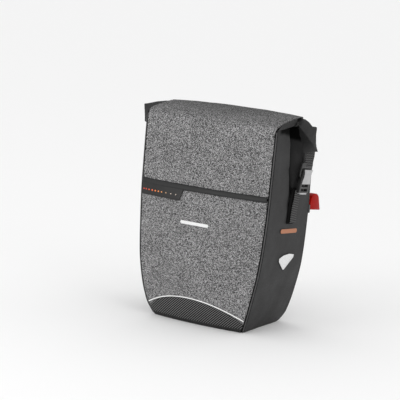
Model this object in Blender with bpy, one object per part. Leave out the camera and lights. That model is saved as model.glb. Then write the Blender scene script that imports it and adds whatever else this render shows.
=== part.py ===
# Bicycle pannier: a roll-top bag with cloth panels, folded side gussets, a rolled
# closure with hanging ears, side straps with buckles, and hooks on the back.
# Metres, +Z up. The bag stands on its base, front to -Y. Its shapes are worked out from
# the back plane as y = 0, and the frame empty then sets the origin under the base.

import math

import bmesh
import bpy
from mathutils import Vector

# Bag size
BACK_PLANE = 0.084
HALF_WIDTH = 0.146
DEPTH = 0.164
FRONT_HEIGHT = 0.392
ROOF_DEPTH = 0.094
ROOF_RISE = 0.022
RIDGE_CROWN = 0.0045
FRONT_CROWN = 0.014
CLOTH = 0.002
GAP = 0.0003
BACK_CORNER = 0.022

# Front fittings
BAND_LOW = 0.2590
BAND_HIGH = 0.2685
BAND_PROUD = 0.0020
PATCH_LEFT = -0.1425
PATCH_RIGHT_HIGH = -0.0375
PATCH_RIGHT_LOW = -0.0445
PATCH_LOW = 0.2370
PATCH_THICK = 0.0016
HEM_HEIGHT = 0.0070
TOE_RISE_MIDDLE = 0.0475
TOE_RISE_EDGE = 0.0230
TOE_PEAK = -0.0200
PIPING_RADIUS = 0.0014
EDGE_PIPING_RADIUS = 0.0018

# Side fold and roof lip
FOLD_DEPTH = 0.040
FOLD_PLACE = 0.074
FOLD_FOOT = 0.262
LIP_DROP = 0.011

# Rolled closure and its ears
ROLL_UNDER = 0.395
EAR_REACH_R = 0.032
EAR_REACH_L = 0.047
EAR_DROP = 0.071
EAR_THICK = 0.006
YOKE_HIGH = 0.4080
YOKE_LOW = 0.3850

# Straps and buckles
WEBBING_WIDTH = 0.025
WEBBING_THICK = 0.0018
STRAP_LENGTH = 0.104
BUCKLE_TOP_Y = -0.0310
BUCKLE_DROP = 0.1030
PLUG_TO_BAR_Y = 0.0085
PLUG_TO_BAR_Z = 0.0280
BUCKLE_OFF = 0.0016
PLUG_HALF = 0.0215
PLUG_THICK = 0.0036
SOCKET_HALF = 0.0165
SOCKET_THICK = 0.0070
PLATE_THICK = 0.0016

# Side reflector
REFLECTOR_BACK = 0.040
REFLECTOR_TOP = 0.1490
REFLECTOR_WIDE = 0.056
REFLECTOR_TALL = 0.0300

# Back fittings
RAIL_LENGTH = 0.230
RAIL_HEIGHT = 0.028
RAIL_THICK = 0.010
RAIL_TOP = 0.366
HOOK_WIDTH = 0.030
HOOK_FROM_END = 0.043
HOOK_THROAT = 0.014
HOOK_WALL = 0.005
RED_HOOK_THICK = 0.012
RED_HOOK_LOW = 0.224
RED_HOOK_HEIGHT = 0.034
RED_HOOK_GAP = 0.0060
RED_HOOK_REACH = 0.0455
RED_HOOK_INSET = 0.0005

# Bag profile: height share, half width share, front depth share
BODY = [
    ("foot", 0.000, 0.700, 0.890),
    ("toe", 0.072, 0.790, 0.960),
    ("toe top", 0.180, 0.876, 0.998),
    ("belly", 0.325, 0.952, 1.000),
    ("waist", 0.550, 0.990, 0.965),
    ("chest", 0.770, 0.996, 0.932),
    ("top", 1.000, 1.000, 0.902),
]

# Roof profile: distance share from the front edge, rise share
ROOF = [
    ("front edge", 0.00, 0.00),
    ("round 1", 0.05, 0.26),
    ("round 2", 0.12, 0.45),
    ("round 3", 0.24, 0.62),
    ("flat 1", 0.44, 0.76),
    ("flat 2", 0.70, 0.90),
    ("ridge", 1.00, 1.00),
    ("turn 1", 1.045, 0.88),
    ("turn 2", 1.060, 0.52),
]

# Ears of the rolled closure, from the roof edge to the foot. Each row gives the front and
# the back point of the strip: out as a share of the ear's reach, y as a share of the depth
# and the drop as a share of the ear's drop; then its share of the thickness
EAR_R = [
    ("roof edge", 0.00, 0.576, 0.137, 0.00, 0.345, 0.077, 1.00),
    ("hump", 0.50, 0.573, 0.232, 0.47, 0.335, 0.155, 1.00),
    ("shoulder in", 0.81, 0.567, 0.366, 0.72, 0.329, 0.232, 1.00),
    ("shoulder", 0.91, 0.543, 0.507, 1.00, 0.329, 0.268, 1.00),
    ("side", 0.75, 0.439, 0.732, 0.875, 0.262, 0.676, 0.92),
    ("foot", 0.25, 0.238, 1.000, 0.56, 0.073, 0.972, 0.83),
]
EAR_L = [
    ("roof edge", 0.00, 0.576, 0.137, 0.00, 0.345, 0.077, 1.00),
    ("hump", 0.385, 0.576, 0.141, 0.385, 0.341, 0.106, 1.00),
    ("shoulder in", 0.73, 0.576, 0.155, 0.77, 0.341, 0.134, 1.00),
    ("shoulder", 0.885, 0.576, 0.211, 1.00, 0.341, 0.232, 1.00),
    ("hang", 0.90, 0.567, 0.507, 1.00, 0.305, 0.479, 1.00),
    ("side", 0.77, 0.488, 0.789, 0.85, 0.262, 0.746, 0.92),
    ("foot", 0.154, 0.238, 1.000, 0.346, 0.073, 0.972, 0.83),
]

# Webbing on the side. Each row gives the front and the back edge point: out from the side
# as a share of its unit, across from the buckle's top as a share of the webbing's width,
# and down from the buckle's top as a share of the strap's length
UPPER_WEBBING = [
    ("ear foot", 0.281, -0.240, -0.274, 0.531, 0.700, -0.288),
    ("bend", 0.213, -0.270, -0.192, 0.306, 0.720, -0.197),
    ("plug foot", 0.203, -0.400, -0.068, 0.206, 0.580, 0.003),
]
STRAP_TAPE = [
    ("top", 0.22, -1.48, 0.356, 0.22, -0.48, 0.394),
    ("middle", 0.11, -1.82, 0.644, 0.11, -0.82, 0.673),
    ("foot", -0.06, -2.12, 0.971, -0.06, -1.12, 0.990),
]
LOWER_STRAP = [
    ("top", 1.28, -1.36, 0.446, 1.28, -0.44, 0.466),
    ("middle", 1.22, -1.54, 0.712, 1.22, -0.62, 0.726),
    ("foot", 1.11, -1.72, 0.986, 1.11, -0.80, 1.005),
]

# Side reflector outline: share of its width from the front, share of its height from the top
REFLECTOR = [
    ("left", 0.00, 0.17),
    ("left low", 0.02, 0.40),
    ("tip left", 0.375, 0.98),
    ("tip", 0.44, 1.00),
    ("right low", 0.98, 0.32),
    ("right", 1.00, 0.13),
    ("top", 0.66, 0.00),
    ("top left", 0.27, 0.03),
]

CLOTH_GREY = (0.18, 0.18, 0.18, 1.0)
BLACK_CLOTH = (0.045, 0.045, 0.047, 1.0)
BLACK_PLASTIC = (0.02, 0.02, 0.02, 1.0)
LIGHT_GREY = (0.50, 0.50, 0.50, 1.0)
WHITE = (0.80, 0.80, 0.80, 1.0)
RED = (0.42, 0.02, 0.01, 1.0)


# Start from an empty scene
for existing in list(bpy.data.objects):
    bpy.data.objects.remove(existing, do_unlink=True)


def add_object(name, mesh_data, colour, roughness):
    bmesh.ops.remove_doubles(mesh_data, verts=mesh_data.verts, dist=0.000001)
    bmesh.ops.recalc_face_normals(mesh_data, faces=mesh_data.faces)
    mesh = bpy.data.meshes.new(name)
    mesh_data.to_mesh(mesh)
    mesh_data.free()
    mesh.shade_smooth()
    mesh.set_sharp_from_angle(angle=math.radians(40))
    thing = bpy.data.objects.new(name, mesh)
    bpy.context.scene.collection.objects.link(thing)
    material = bpy.data.materials.new(name)
    material.use_nodes = True
    shader = material.node_tree.nodes["Principled BSDF"]
    shader.inputs["Base Color"].default_value = colour
    shader.inputs["Roughness"].default_value = roughness
    mesh.materials.append(material)
    return thing


def smooth_row(table, share, column):
    """A value of a table at a share, on a smooth curve through its rows."""
    rows = [row[1:] for row in table]
    share = min(max(share, rows[0][0]), rows[-1][0])
    index = 0
    while index < len(rows) - 2 and share > rows[index + 1][0]:
        index += 1
    low, high = rows[index], rows[index + 1]
    before, after = rows[max(index - 1, 0)], rows[min(index + 2, len(rows) - 1)]
    span = high[0] - low[0]
    slope_low = (high[column] - before[column]) / (high[0] - before[0])
    slope_high = (after[column] - low[column]) / (after[0] - low[0])
    t = (share - low[0]) / span
    return (
        (2 * t**3 - 3 * t**2 + 1) * low[column]
        + (t**3 - 2 * t**2 + t) * span * slope_low
        + (3 * t**2 - 2 * t**3) * high[column]
        + (t**3 - t**2) * span * slope_high
    )


def half_width(z):
    return HALF_WIDTH * smooth_row(BODY, z / FRONT_HEIGHT, 1)


def front_edge(z):
    """y of the front face at its side edges."""
    return -DEPTH * smooth_row(BODY, z / FRONT_HEIGHT, 2)


def front_bulge(x, z):
    """How far the front face stands out beyond its side edges."""
    across = min(abs(x) / half_width(z), 1.0)
    share = z / FRONT_HEIGHT
    fullness = 0.62 + 0.38 * math.sin(math.pi * min(share * 1.15, 1.0)) - 0.22 * share**6
    return FRONT_CROWN * fullness * (1.0 - across**2.2)


def front_y(x, z):
    return front_edge(z) - front_bulge(x, z)


def back_y(z):
    """y of the sides' back edge, rounded in at the foot."""
    if z >= BACK_CORNER:
        return 0.0
    return -BACK_CORNER + math.sqrt(BACK_CORNER**2 - (BACK_CORNER - z) ** 2)


def roof_point(step, x):
    """y and z of the roof's outer face at a share from the front edge, at a place across."""
    across = min(abs(x) / HALF_WIDTH, 1.0)
    rise = ROOF_RISE * smooth_row(ROOF, step, 1)
    crown = RIDGE_CROWN * (1.0 - across**2) * min(max(step, 0.0) * 1.6, 1.0)
    start = front_y(x, FRONT_HEIGHT) * (1.0 - min(step * 2.5, 1.0))
    edge = front_edge(FRONT_HEIGHT) * min(step * 2.5, 1.0)
    return start + edge + ROOF_DEPTH * step, FRONT_HEIGHT + rise + crown


def roof_height(y):
    """Height of the roof's side edge above a place y."""
    step = (y - front_edge(FRONT_HEIGHT)) / ROOF_DEPTH
    if step > 1.0:
        return FRONT_HEIGHT + ROOF_RISE - 0.30 * (step - 1.0) * ROOF_DEPTH
    return FRONT_HEIGHT + ROOF_RISE * smooth_row(ROOF, step, 1)


def grid_solid(name, outer, inner, colour, roughness):
    """A thin closed wall between two grids of points of the same size."""
    work = bmesh.new()
    rows, columns = len(outer), len(outer[0])
    front = [[work.verts.new(point) for point in row] for row in outer]
    back = [[work.verts.new(point) for point in row] for row in inner]
    for i in range(rows - 1):
        for j in range(columns - 1):
            work.faces.new((front[i][j], front[i][j + 1], front[i + 1][j + 1], front[i + 1][j]))
            work.faces.new((back[i][j], back[i + 1][j], back[i + 1][j + 1], back[i][j + 1]))
    for i in range(rows - 1):
        work.faces.new((front[i][0], front[i + 1][0], back[i + 1][0], back[i][0]))
        work.faces.new((front[i][-1], back[i][-1], back[i + 1][-1], front[i + 1][-1]))
    for j in range(columns - 1):
        work.faces.new((front[0][j], back[0][j], back[0][j + 1], front[0][j + 1]))
        work.faces.new((front[-1][j], front[-1][j + 1], back[-1][j + 1], back[-1][j]))
    return add_object(name, work, colour, roughness)


def ring_loft(name, rings, colour, roughness):
    """A closed solid through rings with the same number of points."""
    work = bmesh.new()
    loops = [[work.verts.new(point) for point in ring] for ring in rings]
    count = len(rings[0])
    for first, second in zip(loops, loops[1:]):
        for k in range(count):
            n = (k + 1) % count
            work.faces.new((first[k], first[n], second[n], second[k]))
    work.faces.new(list(reversed(loops[0])))
    work.faces.new(loops[-1])
    return add_object(name, work, colour, roughness)


def strap_ring(front, back, along, thick):
    """A flat rounded section between two edge points, across the direction along."""
    front, back, along = Vector(front), Vector(back), Vector(along).normalized()
    wide = (back - front).normalized()
    up = wide.cross(along).normalized()
    h = thick / 2
    soft = wide * h * 0.7
    middle = (front + back) / 2
    return [
        front,
        front + soft + up * h,
        middle + up * h,
        back - soft + up * h,
        back,
        back - soft - up * h,
        middle - up * h,
        front + soft - up * h,
    ]


def extrude_outline(name, outline, low, high, axis, colour, roughness):
    """An outline of 2-D points made a solid between two places on an axis (0 is x, 1 is y)."""
    work = bmesh.new()
    if axis == 0:
        corners = [work.verts.new((low, a, b)) for a, b in outline]
        move = Vector((high - low, 0, 0))
    else:
        corners = [work.verts.new((a, low, b)) for a, b in outline]
        move = Vector((0, high - low, 0))
    face = work.faces.new(corners)
    made = bmesh.ops.extrude_face_region(work, geom=[face])
    moved = [item for item in made["geom"] if isinstance(item, bmesh.types.BMVert)]
    bmesh.ops.translate(work, verts=moved, vec=move)
    return add_object(name, work, colour, roughness)


def spread(low, high, count):
    return [low + (high - low) * k / (count - 1) for k in range(count)]


# Front upper panel: up the front face, over the roof and just past the ridge
EDGE_INSET = EDGE_PIPING_RADIUS * 2 + GAP


def upper_row(u, drop):
    """Points from the band up and over to the ridge; drop moves them into the cloth."""
    row = []
    for z in spread(BAND_HIGH + GAP, FRONT_HEIGHT - 0.004, 9):
        x = u * (half_width(z) - EDGE_INSET)
        row.append((x, front_y(x, z) + drop, z))
    for step in (0.0, 0.03, 0.07, 0.12, 0.19, 0.28, 0.40, 0.55, 0.72, 0.88, 1.0, 1.045, 1.06):
        x = u * (HALF_WIDTH - 0.0012)
        if step < 0.12:
            x = u * (HALF_WIDTH - EDGE_INSET + (EDGE_INSET - 0.0012) * step / 0.12)
        y, z = roof_point(step, x)
        lean = min(max(step, 0.0) / 0.16, 1.0)
        turn = min(max(step - 0.94, 0.0) / 0.12, 1.0)
        away = Vector((0, math.cos(lean * 1.45), -math.sin(lean * 1.45)))
        if turn > 0:
            away = Vector((0, -math.sin(turn * 1.45), -math.cos(turn * 1.45)))
        row.append((x, y + away.y * drop, z + away.z * drop))
    return row


across = spread(-1.0, 1.0, 13)
grid_solid(
    "front_upper_panel",
    [upper_row(u, 0.0) for u in across],
    [upper_row(u, CLOTH) for u in across],
    CLOTH_GREY,
    0.9,
)


# Toe line: height of the ribbed panel's curved top edge at a place across
def toe_line(x):
    span = (HALF_WIDTH * 0.86 + TOE_PEAK) if x < TOE_PEAK else (HALF_WIDTH * 0.86 - TOE_PEAK)
    share = min(abs(x - TOE_PEAK) / span, 1.0)
    fall = share**2 if x > TOE_PEAK else share**2.2
    return TOE_RISE_MIDDLE - (TOE_RISE_MIDDLE - TOE_RISE_EDGE) * fall


def on_line(line, u):
    """Place across where a share of the front's width meets a height line."""
    x = u * HALF_WIDTH * 0.85
    for _ in range(6):
        x = u * (half_width(line(x)) - EDGE_INSET)
    return x


def front_panel(name, low_line, high_line, proud, thick, steps, colour, roughness):
    """A wall on the front face between two height lines."""
    outer, inner = [], []
    for u in spread(-1.0, 1.0, 17):
        low = low_line(on_line(low_line, u))
        high = high_line(on_line(high_line, u))
        front_row, back_row = [], []
        for z in spread(low, high, steps):
            x = u * (half_width(z) - EDGE_INSET)
            y = front_y(x, z)
            front_row.append((x, y - proud, z))
            back_row.append((x, y - proud + thick, z))
        outer.append(front_row)
        inner.append(back_row)
    return grid_solid(name, outer, inner, colour, roughness)


PIPING_ROOM = PIPING_RADIUS * 1.12 + GAP
front_panel(
    "front_lower_panel",
    lambda x: toe_line(x) + PIPING_ROOM,
    lambda x: BAND_LOW - GAP,
    0.0,
    CLOTH,
    14,
    CLOTH_GREY,
    0.9,
)
front_panel(
    "toe_panel",
    lambda x: HEM_HEIGHT + GAP,
    lambda x: toe_line(x) - PIPING_ROOM,
    0.0,
    CLOTH,
    6,
    BLACK_CLOTH,
    0.6,
)
front_panel(
    "bottom_hem",
    lambda x: 0.0,
    lambda x: HEM_HEIGHT,
    0.0006,
    CLOTH + 0.0006,
    3,
    BLACK_CLOTH,
    0.6,
)
front_panel(
    "zip_band",
    lambda x: BAND_LOW,
    lambda x: BAND_HIGH,
    BAND_PROUD,
    CLOTH + BAND_PROUD,
    3,
    BLACK_CLOTH,
    0.6,
)


# Cover patch under the band's left end, with a slanted right end
def patch_rows(proud):
    rows = []
    for t in spread(0.0, 1.0, 9):
        row = []
        for s in (0.0, 0.5, 1.0):
            z = PATCH_LOW + (BAND_LOW - GAP - PATCH_LOW) * s
            right = PATCH_RIGHT_LOW + (PATCH_RIGHT_HIGH - PATCH_RIGHT_LOW) * s
            x = PATCH_LEFT + (right - PATCH_LEFT) * t
            row.append((x, front_y(x, z) - proud, z))
        rows.append(row)
    return rows


grid_solid(
    "cover_patch",
    patch_rows(GAP + PATCH_THICK + 0.0004),
    patch_rows(GAP + 0.0004),
    BLACK_CLOTH,
    0.55,
)


def cord_solid(name, points, radius, sides, colour, roughness):
    """A round cord through points, closed at both ends."""
    points = [Vector(point) for point in points]
    rings = []
    for k, centre in enumerate(points):
        along = points[min(k + 1, len(points) - 1)] - points[max(k - 1, 0)]
        along.normalize()
        helper = Vector((0, 1, 0)) if abs(along.y) < 0.8 else Vector((0, 0, 1))
        first = along.cross(helper).normalized()
        second = along.cross(first).normalized()
        rings.append(
            [
                centre
                + first * radius * math.cos(2 * math.pi * side / sides)
                + second * radius * math.sin(2 * math.pi * side / sides)
                for side in range(sides)
            ]
        )
    return ring_loft(name, rings, colour, roughness)


# White reflective piping along the toe line
piping_points = []
for u in spread(-0.995, 0.995, 25):
    place = on_line(toe_line, u)
    height = toe_line(place)
    piping_points.append((place, front_y(place, height) + 0.0004, height))
cord_solid("reflective_piping", piping_points, PIPING_RADIUS, 8, WHITE, 0.4)


# Sides: folded inwards at the top, with the front edge piping
def yoke_height(y):
    """Height of the yoke's outer face, which slopes from the ridge to the back panel."""
    ridge = front_edge(FRONT_HEIGHT) + ROOF_DEPTH
    return YOKE_HIGH - (YOKE_HIGH - YOKE_LOW) * (y - ridge) / -ridge


def fold_in(y, z):
    """How far the side lies inside its flat plane."""
    if z <= FOLD_FOOT:
        return 0.0
    rise = min((z - FOLD_FOOT) / (FRONT_HEIGHT - FOLD_FOOT), 1.0)
    reach = 0.036 + 0.030 * rise
    away = abs(y + FOLD_PLACE) / reach
    if away >= 1.0:
        return 0.0
    valley = (1.0 - away) ** 1.3
    return FOLD_DEPTH * rise**1.2 * valley


def gusset_back(z):
    """y of the gusset's back edge, just inside the back panel."""
    inner = BACK_CORNER - CLOTH - 2 * GAP
    if z >= BACK_CORNER:
        return -CLOTH - GAP
    reach = math.sqrt(max(inner**2 - (BACK_CORNER - z) ** 2, 0.0))
    return -BACK_CORNER - GAP + reach * 0.97


def gusset_top(y):
    """Height of the gusset's top edge, under the roof, the roll and the yoke."""
    return min(roof_height(y) - CLOTH - GAP - 0.0009, ROLL_UNDER, yoke_height(y) - CLOTH - 2 * GAP)


def side_row(side, y_share, inset):
    row = []
    for t in [0.0, 0.0063, 0.013, 0.025, 0.04, 0.058] + spread(0.11, 1.0, 16):
        z = t * ROLL_UNDER
        for _ in range(3):
            front = front_edge(z) + EDGE_PIPING_RADIUS * 1.6 + GAP
            y = front + (gusset_back(z) - front) * y_share
            z = t * gusset_top(y)
        wide_at = min(z, FRONT_HEIGHT)
        row.append((side * (half_width(wide_at) - fold_in(y, wide_at) - inset), y, z))
    return row


for side, letter in ((1, "R"), (-1, "L")):
    shares = [0.0, 0.06, 0.13, 0.2, 0.27, 0.34, 0.4, 0.45, 0.5, 0.55, 0.61, 0.68, 0.76, 0.84, 0.92, 1.0]
    grid_solid(
        "gusset_" + letter,
        [side_row(side, share, 0.0) for share in shares],
        [side_row(side, share, CLOTH) for share in shares],
        BLACK_CLOTH,
        0.7,
    )
    heights = spread(0.0022, FRONT_HEIGHT - 0.0015, 24)
    cord_solid(
        "edge_piping_" + letter,
        [
            (
                side * (half_width(z) - EDGE_PIPING_RADIUS),
                front_edge(z) + EDGE_PIPING_RADIUS * 0.6,
                z,
            )
            for z in heights
        ],
        EDGE_PIPING_RADIUS,
        8,
        BLACK_CLOTH,
        0.6,
    )


# Floor and back of the bag
def floor_rows(height):
    rows = []
    for t in spread(0.0, 1.0, 5):
        row = []
        for u in spread(-1.0, 1.0, 9):
            reach = half_width(height) - CLOTH - GAP - 0.0004
            front = front_y(u * reach, 0.0) + CLOTH + GAP + 0.0008
            y = front + (-BACK_CORNER - GAP - front) * t
            row.append((u * reach, y, height))
        rows.append(row)
    return rows


grid_solid("base_panel", floor_rows(CLOTH), floor_rows(0.0), BLACK_CLOTH, 0.7)

BACK_TOP = YOKE_LOW - CLOTH - GAP - 0.0008


def back_rows(inset):
    rows = []
    for k in range(17):
        if k < 6:
            turn = math.radians(90 * k / 5)
            y = -BACK_CORNER + (BACK_CORNER - inset) * math.sin(turn)
            z = BACK_CORNER - (BACK_CORNER - inset) * math.cos(turn)
        else:
            y = -inset
            z = BACK_CORNER + (BACK_TOP - BACK_CORNER) * (k - 5) / 11
        rows.append([(u * half_width(z), y, z) for u in spread(-1.0, 1.0, 7)])
    return rows


grid_solid("back_panel", back_rows(0.0), back_rows(CLOTH), BLACK_CLOTH, 0.7)


def yoke_rows(drop):
    rows = []
    ridge = front_edge(FRONT_HEIGHT) + ROOF_DEPTH
    for y in spread(ridge + 0.0062, 0.0, 5):
        reach = HALF_WIDTH - 0.0012
        fade = y / ridge
        rows.append(
            [
                (
                    u * reach,
                    y,
                    yoke_height(y) + RIDGE_CROWN * 0.9 * fade * (1.0 - u * u) - drop,
                )
                for u in spread(-1.0, 1.0, 9)
            ]
        )
    return rows


grid_solid("back_yoke", yoke_rows(0.0), yoke_rows(CLOTH), BLACK_CLOTH, 0.7)


# Rolled closure: one flat strip under the roof, its two ends hanging as ears
ROOF_TOP = FRONT_HEIGHT + ROOF_RISE


def ear_point(side, row, first):
    reach = EAR_REACH_R if side > 0 else EAR_REACH_L
    x = side * (HALF_WIDTH + row[first] * reach)
    return Vector((x, -row[first + 1] * DEPTH, ROOF_TOP - row[first + 2] * EAR_DROP))


def closure_stations():
    stations = []
    for row in reversed(EAR_L):
        stations.append((ear_point(-1, row, 1), ear_point(-1, row, 4), row[7] * EAR_THICK))
    start_front = ear_point(1, EAR_R[0], 1)
    start_back = ear_point(1, EAR_R[0], 4)
    for x in spread(-0.8, 0.8, 7):
        lift = RIDGE_CROWN * (1.0 - x * x) * 0.9
        front = Vector((x * HALF_WIDTH, start_front.y, start_front.z + lift))
        back = Vector((x * HALF_WIDTH, start_back.y, start_back.z + lift))
        stations.append((front, back, EAR_THICK))
    for row in EAR_R:
        stations.append((ear_point(1, row, 1), ear_point(1, row, 4), row[7] * EAR_THICK))
    return stations


def band_loft(name, stations, colour, roughness):
    """A flat strip through stations of front point, back point and thickness."""
    middles = [(front + back) / 2 for front, back, _ in stations]
    rings = []
    for k, (front, back, thick) in enumerate(stations):
        along = middles[min(k + 1, len(middles) - 1)] - middles[max(k - 1, 0)]
        rings.append(strap_ring(front, back, along, thick))
    return ring_loft(name, rings, colour, roughness)


band_loft("rolled_closure", closure_stations(), BLACK_CLOTH, 0.6)


# Roof binding: the dark lip under the roof's side edges, in front of the roll
for side, letter in ((1, "R"), (-1, "L")):
    outer, inner = [], []
    lip_front = front_edge(FRONT_HEIGHT) + 0.004
    lip_back = ear_point(1, EAR_R[0], 1).y - 0.0035
    for t in spread(0.0, 1.0, 9):
        y = lip_front + (lip_back - lip_front) * t
        high = roof_height(y) - 0.0004
        low = high - 0.0035 - LIP_DROP * math.sin(math.pi * min(t * 0.62 + 0.02, 1.0))
        x = HALF_WIDTH + GAP
        outer.append([(side * (x + 0.0016), y, low), (side * (x + 0.0016), y, high)])
        inner.append([(side * x, y, low), (side * x, y, high)])
    grid_solid("roof_binding_" + letter, outer, inner, BLACK_CLOTH, 0.6)


# Straps, buckles and reflector on each side
AXIS_LEAN = math.atan2(PLUG_TO_BAR_Y, PLUG_TO_BAR_Z)
BUCKLE_TOP_Z = ROOF_TOP - BUCKLE_DROP


def on_buckle(across, down):
    """y and z of a place on the buckle: across it towards the back, and down its axis."""
    y = BUCKLE_TOP_Y + across * math.cos(AXIS_LEAN) - down * math.sin(AXIS_LEAN)
    z = BUCKLE_TOP_Z - across * math.sin(AXIS_LEAN) - down * math.cos(AXIS_LEAN)
    return y, z


def buckle_plate_shape(name, side, outline, low, high, colour, roughness):
    points = [on_buckle(across, down) for across, down in outline]
    near = side * (HALF_WIDTH + low)
    far = side * (HALF_WIDTH + high)
    return extrude_outline(name, points, near, far, 0, colour, roughness)


def cut_slot(target, name, side, low_across, high_across, low_down, high_down):
    outline = [
        (low_across, low_down),
        (high_across, low_down),
        (high_across, high_down),
        (low_across, high_down),
    ]
    cutter = buckle_plate_shape(name, side, outline, -0.002, 0.020, BLACK_PLASTIC, 0.5)
    cutter.hide_render = True
    cutter.display_type = "WIRE"
    modifier = target.modifiers.new(name, "BOOLEAN")
    modifier.operation = "DIFFERENCE"
    modifier.object = cutter


def strap_point(side, unit, out, across_share, down_share):
    y = BUCKLE_TOP_Y + across_share * WEBBING_WIDTH
    return Vector((side * (HALF_WIDTH + out * unit), y, BUCKLE_TOP_Z - down_share * STRAP_LENGTH))


def strap_rows(rows, side, unit):
    stations = []
    for _, out_front, across_front, down_front, out_back, across_back, down_back in rows:
        front = strap_point(side, unit, out_front, across_front, down_front)
        back = strap_point(side, unit, out_back, across_back, down_back)
        stations.append((front, back, WEBBING_THICK))
    return stations


for side, letter in ((1, "R"), (-1, "L")):
    upper = strap_rows(UPPER_WEBBING, side, EAR_REACH_R)
    tape = strap_rows(STRAP_TAPE, side, WEBBING_THICK)
    lower = strap_rows(LOWER_STRAP, side, WEBBING_THICK)
    band_loft("upper_webbing_" + letter, upper, BLACK_CLOTH, 0.7)
    band_loft("strap_tape_" + letter, tape, BLACK_CLOTH, 0.7)
    band_loft("lower_strap_" + letter, lower, BLACK_CLOTH, 0.7)

    plug = [
        (-PLUG_HALF, -0.0095),
        (-PLUG_HALF + 0.003, -0.0115),
        (PLUG_HALF - 0.003, -0.0115),
        (PLUG_HALF, -0.0095),
        (PLUG_HALF, -0.0020),
        (PLUG_HALF + 0.0015, 0.0060),
        (PLUG_HALF + 0.0005, 0.0140),
        (PLUG_HALF - 0.0035, 0.0185),
        (PLUG_HALF - 0.0045, 0.0170),
        (PLUG_HALF - 0.0025, 0.0130),
        (PLUG_HALF - 0.0025, 0.0060),
        (PLUG_HALF - 0.0055, -0.0005),
        (-PLUG_HALF + 0.0055, -0.0005),
        (-PLUG_HALF + 0.0025, 0.0060),
        (-PLUG_HALF + 0.0025, 0.0130),
        (-PLUG_HALF + 0.0045, 0.0170),
        (-PLUG_HALF + 0.0035, 0.0185),
        (-PLUG_HALF - 0.0005, 0.0140),
        (-PLUG_HALF - 0.0015, 0.0060),
        (-PLUG_HALF, -0.0020),
    ]
    buckle_plate_shape(
        "buckle_plug_" + letter, side, plug, BUCKLE_OFF, BUCKLE_OFF + PLUG_THICK, BLACK_PLASTIC, 0.35
    )
    socket = [
        (-SOCKET_HALF, 0.0005),
        (SOCKET_HALF, 0.0005),
        (SOCKET_HALF - 0.0015, 0.0070),
        (SOCKET_HALF - 0.0010, 0.0150),
        (SOCKET_HALF + 0.0020, 0.0200),
        (SOCKET_HALF + 0.0025, 0.0460),
        (-SOCKET_HALF - 0.0025, 0.0460),
        (-SOCKET_HALF - 0.0020, 0.0200),
        (-SOCKET_HALF + 0.0010, 0.0150),
        (-SOCKET_HALF + 0.0015, 0.0070),
    ]
    body = buckle_plate_shape(
        "buckle_socket_" + letter,
        side,
        socket,
        BUCKLE_OFF,
        BUCKLE_OFF + SOCKET_THICK,
        BLACK_PLASTIC,
        0.35,
    )
    cut_slot(body, "high_slot_" + letter, side, -0.0128, 0.0128, 0.0305, 0.0345)
    cut_slot(body, "low_slot_" + letter, side, -0.0128, 0.0128, 0.0385, 0.0435)
    plate = [
        (-0.0165, 0.0010),
        (0.0165, 0.0010),
        (0.0140, 0.0075),
        (0.0135, 0.0150),
        (0.0150, 0.0215),
        (0.0165, 0.0290),
        (-0.0165, 0.0290),
        (-0.0150, 0.0215),
        (-0.0125, 0.0150),
        (-0.0130, 0.0075),
    ]
    plate_low = BUCKLE_OFF + SOCKET_THICK + GAP
    buckle_plate_shape(
        "buckle_plate_" + letter, side, plate, plate_low, plate_low + PLATE_THICK, LIGHT_GREY, 0.4
    )
    bar = [(-0.0140, 0.0463), (0.0140, 0.0463), (0.0130, 0.0495), (-0.0130, 0.0495)]
    buckle_plate_shape(
        "buckle_bar_" + letter, side, bar, BUCKLE_OFF, BUCKLE_OFF + SOCKET_THICK, LIGHT_GREY, 0.4
    )

    reflector_rings = []
    for off in (0.0004, 0.0014):
        ring = []
        for _, along, down in REFLECTOR:
            z = REFLECTOR_TOP - down * REFLECTOR_TALL
            y = -REFLECTOR_BACK - (1.0 - along) * REFLECTOR_WIDE
            ring.append(Vector((side * (half_width(z) + off), y, z)))
        reflector_rings.append(ring)
    ring_loft("side_reflector_" + letter, reflector_rings, WHITE, 0.4)


# Back fittings: a plain rail with two hooks, and the red hook at the right edge
def box_outline(low_y, high_y, low_z, high_z):
    return [(low_y, low_z), (high_y, low_z), (high_y, high_z), (low_y, high_z)]


RAIL_BACK = GAP + RAIL_THICK
extrude_outline(
    "mount_rail",
    box_outline(GAP, RAIL_BACK, RAIL_TOP - RAIL_HEIGHT, RAIL_TOP),
    -RAIL_LENGTH / 2,
    RAIL_LENGTH / 2,
    0,
    BLACK_PLASTIC,
    0.5,
)
for side, letter in ((1, "R"), (-1, "L")):
    near = RAIL_BACK + GAP
    inner = near + HOOK_WALL
    outer = inner + HOOK_THROAT
    far = outer + HOOK_WALL
    top = RAIL_TOP + 0.008
    hook = [
        (near, RAIL_TOP - RAIL_HEIGHT - 0.008),
        (inner, RAIL_TOP - RAIL_HEIGHT - 0.008),
        (inner, top - HOOK_WALL),
        (outer, top - HOOK_WALL),
        (outer, top - 0.024),
        (far, top - 0.024),
        (far, top),
        (near, top),
    ]
    centre = side * (RAIL_LENGTH / 2 - HOOK_FROM_END)
    extrude_outline(
        "top_hook_" + letter,
        hook,
        centre - HOOK_WIDTH / 2,
        centre + HOOK_WIDTH / 2,
        0,
        BLACK_PLASTIC,
        0.5,
    )

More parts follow.
